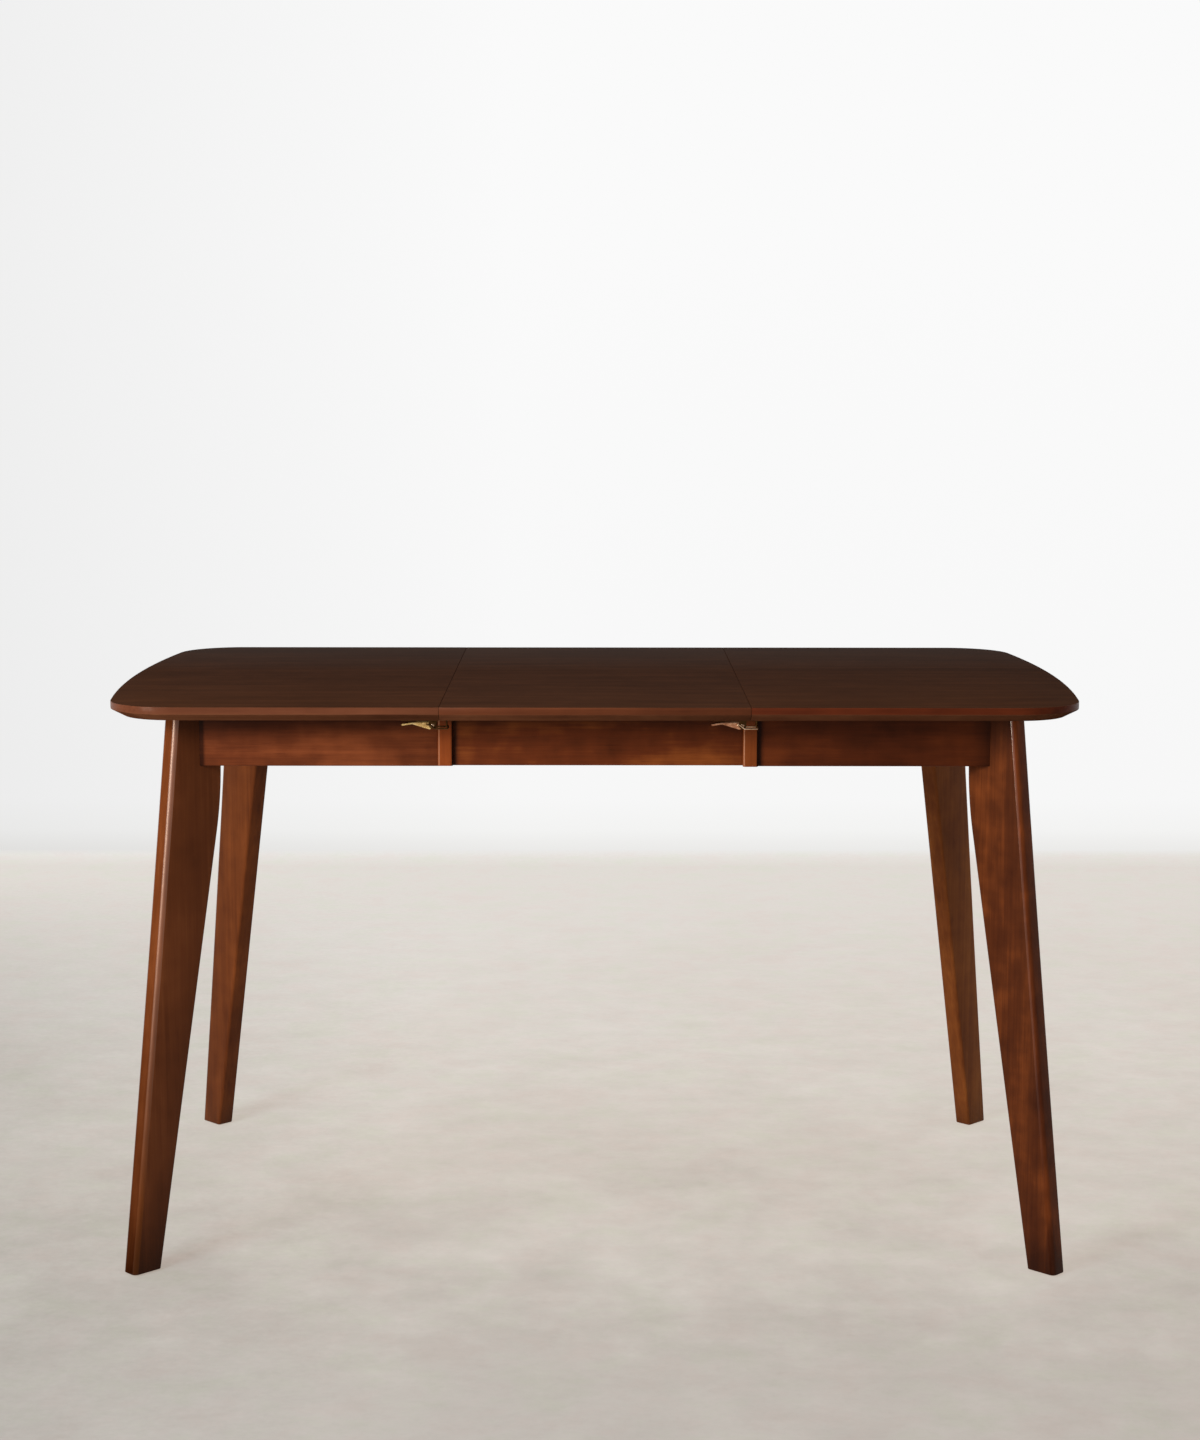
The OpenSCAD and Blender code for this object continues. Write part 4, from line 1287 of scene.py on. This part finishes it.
def studio_paper():
    """Pale seamless paper, mottled on the floor and white on the wall.

    It is clear from its back, so that the table can be looked at from all sides.
    """
    paint = Finish("studio_paper")
    cloud = paint.noise(paint.moved(paint.here, scale=(1.6, 1, 1)), 1.5, 4, 0.6)
    patch = paint.noise(paint.moved(paint.here, move=(3, 1, 0)), 6, 5, 0.65)
    specks = paint.noise(paint.here, 90, 3, 0.6)
    stir = (cloud - 0.5) * 1.6 + (patch - 0.5) * 0.9
    lows, highs = FLOOR_TONES[0][0], FLOOR_TONES[-1][0]
    away = (paint.here.part(Y) + stir).ramp(lows, highs)
    stops = [((y - lows) / (highs - lows), tone) for y, tone in FLOOR_TONES]
    floor = paint.colours(away, stops)
    foot_of_wall = paint.here.part(Y).ramp(WALL_Y - 0.17, WALL_Y)
    floor = paint.mixed("MIX", foot_of_wall, floor, WALL_FOOT)
    close_by = paint.here.part(Y).ramp(2.4, 0.8)
    # Painted shade on the floor's left, near the table, with fine specks
    left_shade_and_specks = paint.here.part(X).ramp(-0.3, -1.5) * close_by + (specks - 0.5) * 0.3
    floor = paint.mixed("MULTIPLY", left_shade_and_specks.math("ADD", 0.0, clamp=True), floor, FLOOR_LEFT)
    drift = paint.moved(paint.here, move=(7, 2, 0), scale=(0.8, 1, 1))
    mottle = paint.noise(drift, 13, 5, 0.75)
    clouds = mottle.ramp(0.33, 0.67) * close_by
    floor = paint.mixed("MULTIPLY", clouds, floor, FLOOR_CLOUDS)
    tint = paint.noise(paint.moved(paint.here, move=(1, 9, 0)), 9, 4, 0.7)
    floor = paint.mixed("MULTIPLY", 1.0, floor, paint.colours(tint, FLOOR_TINTS))
    top = WALL_TONES[-1][0]
    stops = [(z / top, tone) for z, tone in WALL_TONES]
    wall = paint.colours(paint.here.part(Z).ramp(0.0, top), stops)
    # Painted shade on the wall's left side
    side = paint.here.part(X).ramp(-0.2, -1.6)
    wall = paint.mixed("MULTIPLY", side, wall, WALL_LEFT)
    glow = paint.node("ShaderNodeEmission", {}, {"Color": wall, "Strength": 1.0})
    camera_ray, glossy_ray, transmission_ray = (
        paint.node("ShaderNodeLightPath", output=f"Is {ray} Ray")
        for ray in ("Camera", "Glossy", "Transmission")
    )
    seen = camera_ray.math("MAXIMUM", glossy_ray).math("MAXIMUM", transmission_ray)
    on_wall = paint.here.part(Z).ramp(0.0, 0.012)
    cool = paint.mixed("MULTIPLY", seen, floor, FLOOR_COOL)
    matt = paint.node("ShaderNodeBsdfDiffuse", {}, {"Color": cool})
    warm = paint.mixed("MULTIPLY", 1.0, floor, FLOOR_WARM)
    even = paint.node("ShaderNodeEmission", {}, {"Color": warm, "Strength": FLOOR_GLOW})
    ground = paint.node("ShaderNodeMixShader", {}, {0: seen * FLOOR_EVENNESS, 1: matt, 2: even})
    front = paint.node("ShaderNodeMixShader", {}, {0: seen * on_wall, 1: ground, 2: glow})
    from_behind = paint.node("ShaderNodeNewGeometry", output="Backfacing")
    clear = paint.node("ShaderNodeBsdfTransparent")
    mix = paint.node("ShaderNodeMixShader", {}, {0: from_behind, 1: front, 2: clear})
    paint.node("ShaderNodeOutputMaterial", {}, {"Surface": mix})
    return paint.material


def backdrop():
    """A floor that turns up into a wall behind the table."""
    bpy.ops.object.select_all(action="DESELECT")
    bpy.ops.mesh.primitive_plane_add(size=1)
    sheet = bpy.context.object
    depth = WALL_Y - COVE_R + SHEET_REACH
    sheet.scale = (SHEET_W, depth, 1)
    sheet.location = (0, WALL_Y - COVE_R - depth / 2, 0)
    settle(sheet)
    edit(sheet)
    pick(sheet, "edges", all_at(Y, WALL_Y - COVE_R, 1e-4))
    turn = 0.0
    step = math.pi / 2 / COVE_STEPS
    for _ in range(COVE_STEPS):
        old = (math.sin(turn) * COVE_R, COVE_R - math.cos(turn) * COVE_R)
        turn += step
        new = (math.sin(turn) * COVE_R, COVE_R - math.cos(turn) * COVE_R)
        move = (0, new[0] - old[0], new[1] - old[1])
        bpy.ops.mesh.extrude_region_move(TRANSFORM_OT_translate={"value": move})
    bpy.ops.mesh.extrude_region_move(TRANSFORM_OT_translate={"value": (0, 0, WALL_H)})
    done()
    bpy.ops.object.shade_smooth_by_angle(angle=math.radians(30))
    sheet.name = "studio_sheet"
    sheet.data.materials.append(studio_paper())


backdrop()


def softbox(name, place, aim, size, power, colour=(1, 1, 1)):
    """A soft lamp at a place, turned towards another."""
    bpy.ops.object.select_all(action="DESELECT")
    bpy.ops.object.light_add(type="AREA", location=place)
    lamp = bpy.context.object
    lamp.name = name
    lamp.data.shape = "RECTANGLE"
    lamp.data.size, lamp.data.size_y = size
    lamp.data.energy = power
    lamp.data.color = colour
    lamp.rotation_mode = "QUATERNION"
    lamp.rotation_quaternion = (Vector(aim) - Vector(place)).to_track_quat("-Z", "Y")


softbox("key_left_front", (-1.95, -2.5, 1.95), (-0.1, 0, 0.65), (0.9, 0.9), 76, (1, 0.97, 0.93))
softbox("tall_left_front", (-2.35, -2.1, 0.95), (-0.1, 0, 0.65), (0.9, 1.1), 30, (1, 0.88, 0.74))
softbox("overhead", (0, -0.3, 3.2), (0, 0, 0.7), (3.2, 2.6), 30)

air = Finish("studio_air", bpy.data.worlds)
seen = air.node("ShaderNodeLightPath", output="Is Camera Ray")
sky = {"Color": (1, 1, 1, 1), "Strength": seen * SKY_SEEN + SKY_LIGHT}
air.node(
    "ShaderNodeOutputWorld", {}, {"Surface": air.node("ShaderNodeBackground", {}, sky)}
)
bpy.context.scene.world = air.material

CAMERA_PLACE = (-0.00208, -3.6910, 1.1757)
CAMERA_PITCH = 0.12509
CAMERA_YAW = 0.00256
CAMERA_ROLL = 0.00118
CAMERA_LENS = 65.42
CAMERA_SHIFT_Y = -0.010466
SENSOR_W = 36


def camera():
    """The camera at the photograph's place, as it was fitted to the table's outlines."""
    bpy.ops.object.select_all(action="DESELECT")
    bpy.ops.object.camera_add(location=CAMERA_PLACE)
    eye = bpy.context.object
    sin_p, cos_p = math.sin(CAMERA_PITCH), math.cos(CAMERA_PITCH)
    sin_y, cos_y = math.sin(CAMERA_YAW), math.cos(CAMERA_YAW)
    ahead = Vector((sin_y * cos_p, cos_y * cos_p, -sin_p))
    right = Vector((cos_y, -sin_y, 0))
    up = right.cross(ahead)
    sin_r, cos_r = math.sin(CAMERA_ROLL), math.cos(CAMERA_ROLL)
    right, up = right * cos_r + up * sin_r, up * cos_r - right * sin_r
    turn = Matrix((right, up, -ahead)).transposed()
    eye.rotation_mode = "QUATERNION"
    eye.rotation_quaternion = turn.to_quaternion()
    eye.data.lens = CAMERA_LENS
    eye.data.sensor_width = SENSOR_W
    eye.data.shift_y = CAMERA_SHIFT_Y
    bpy.context.scene.camera = eye


camera()
bpy.context.scene.view_settings.view_transform = "Standard"
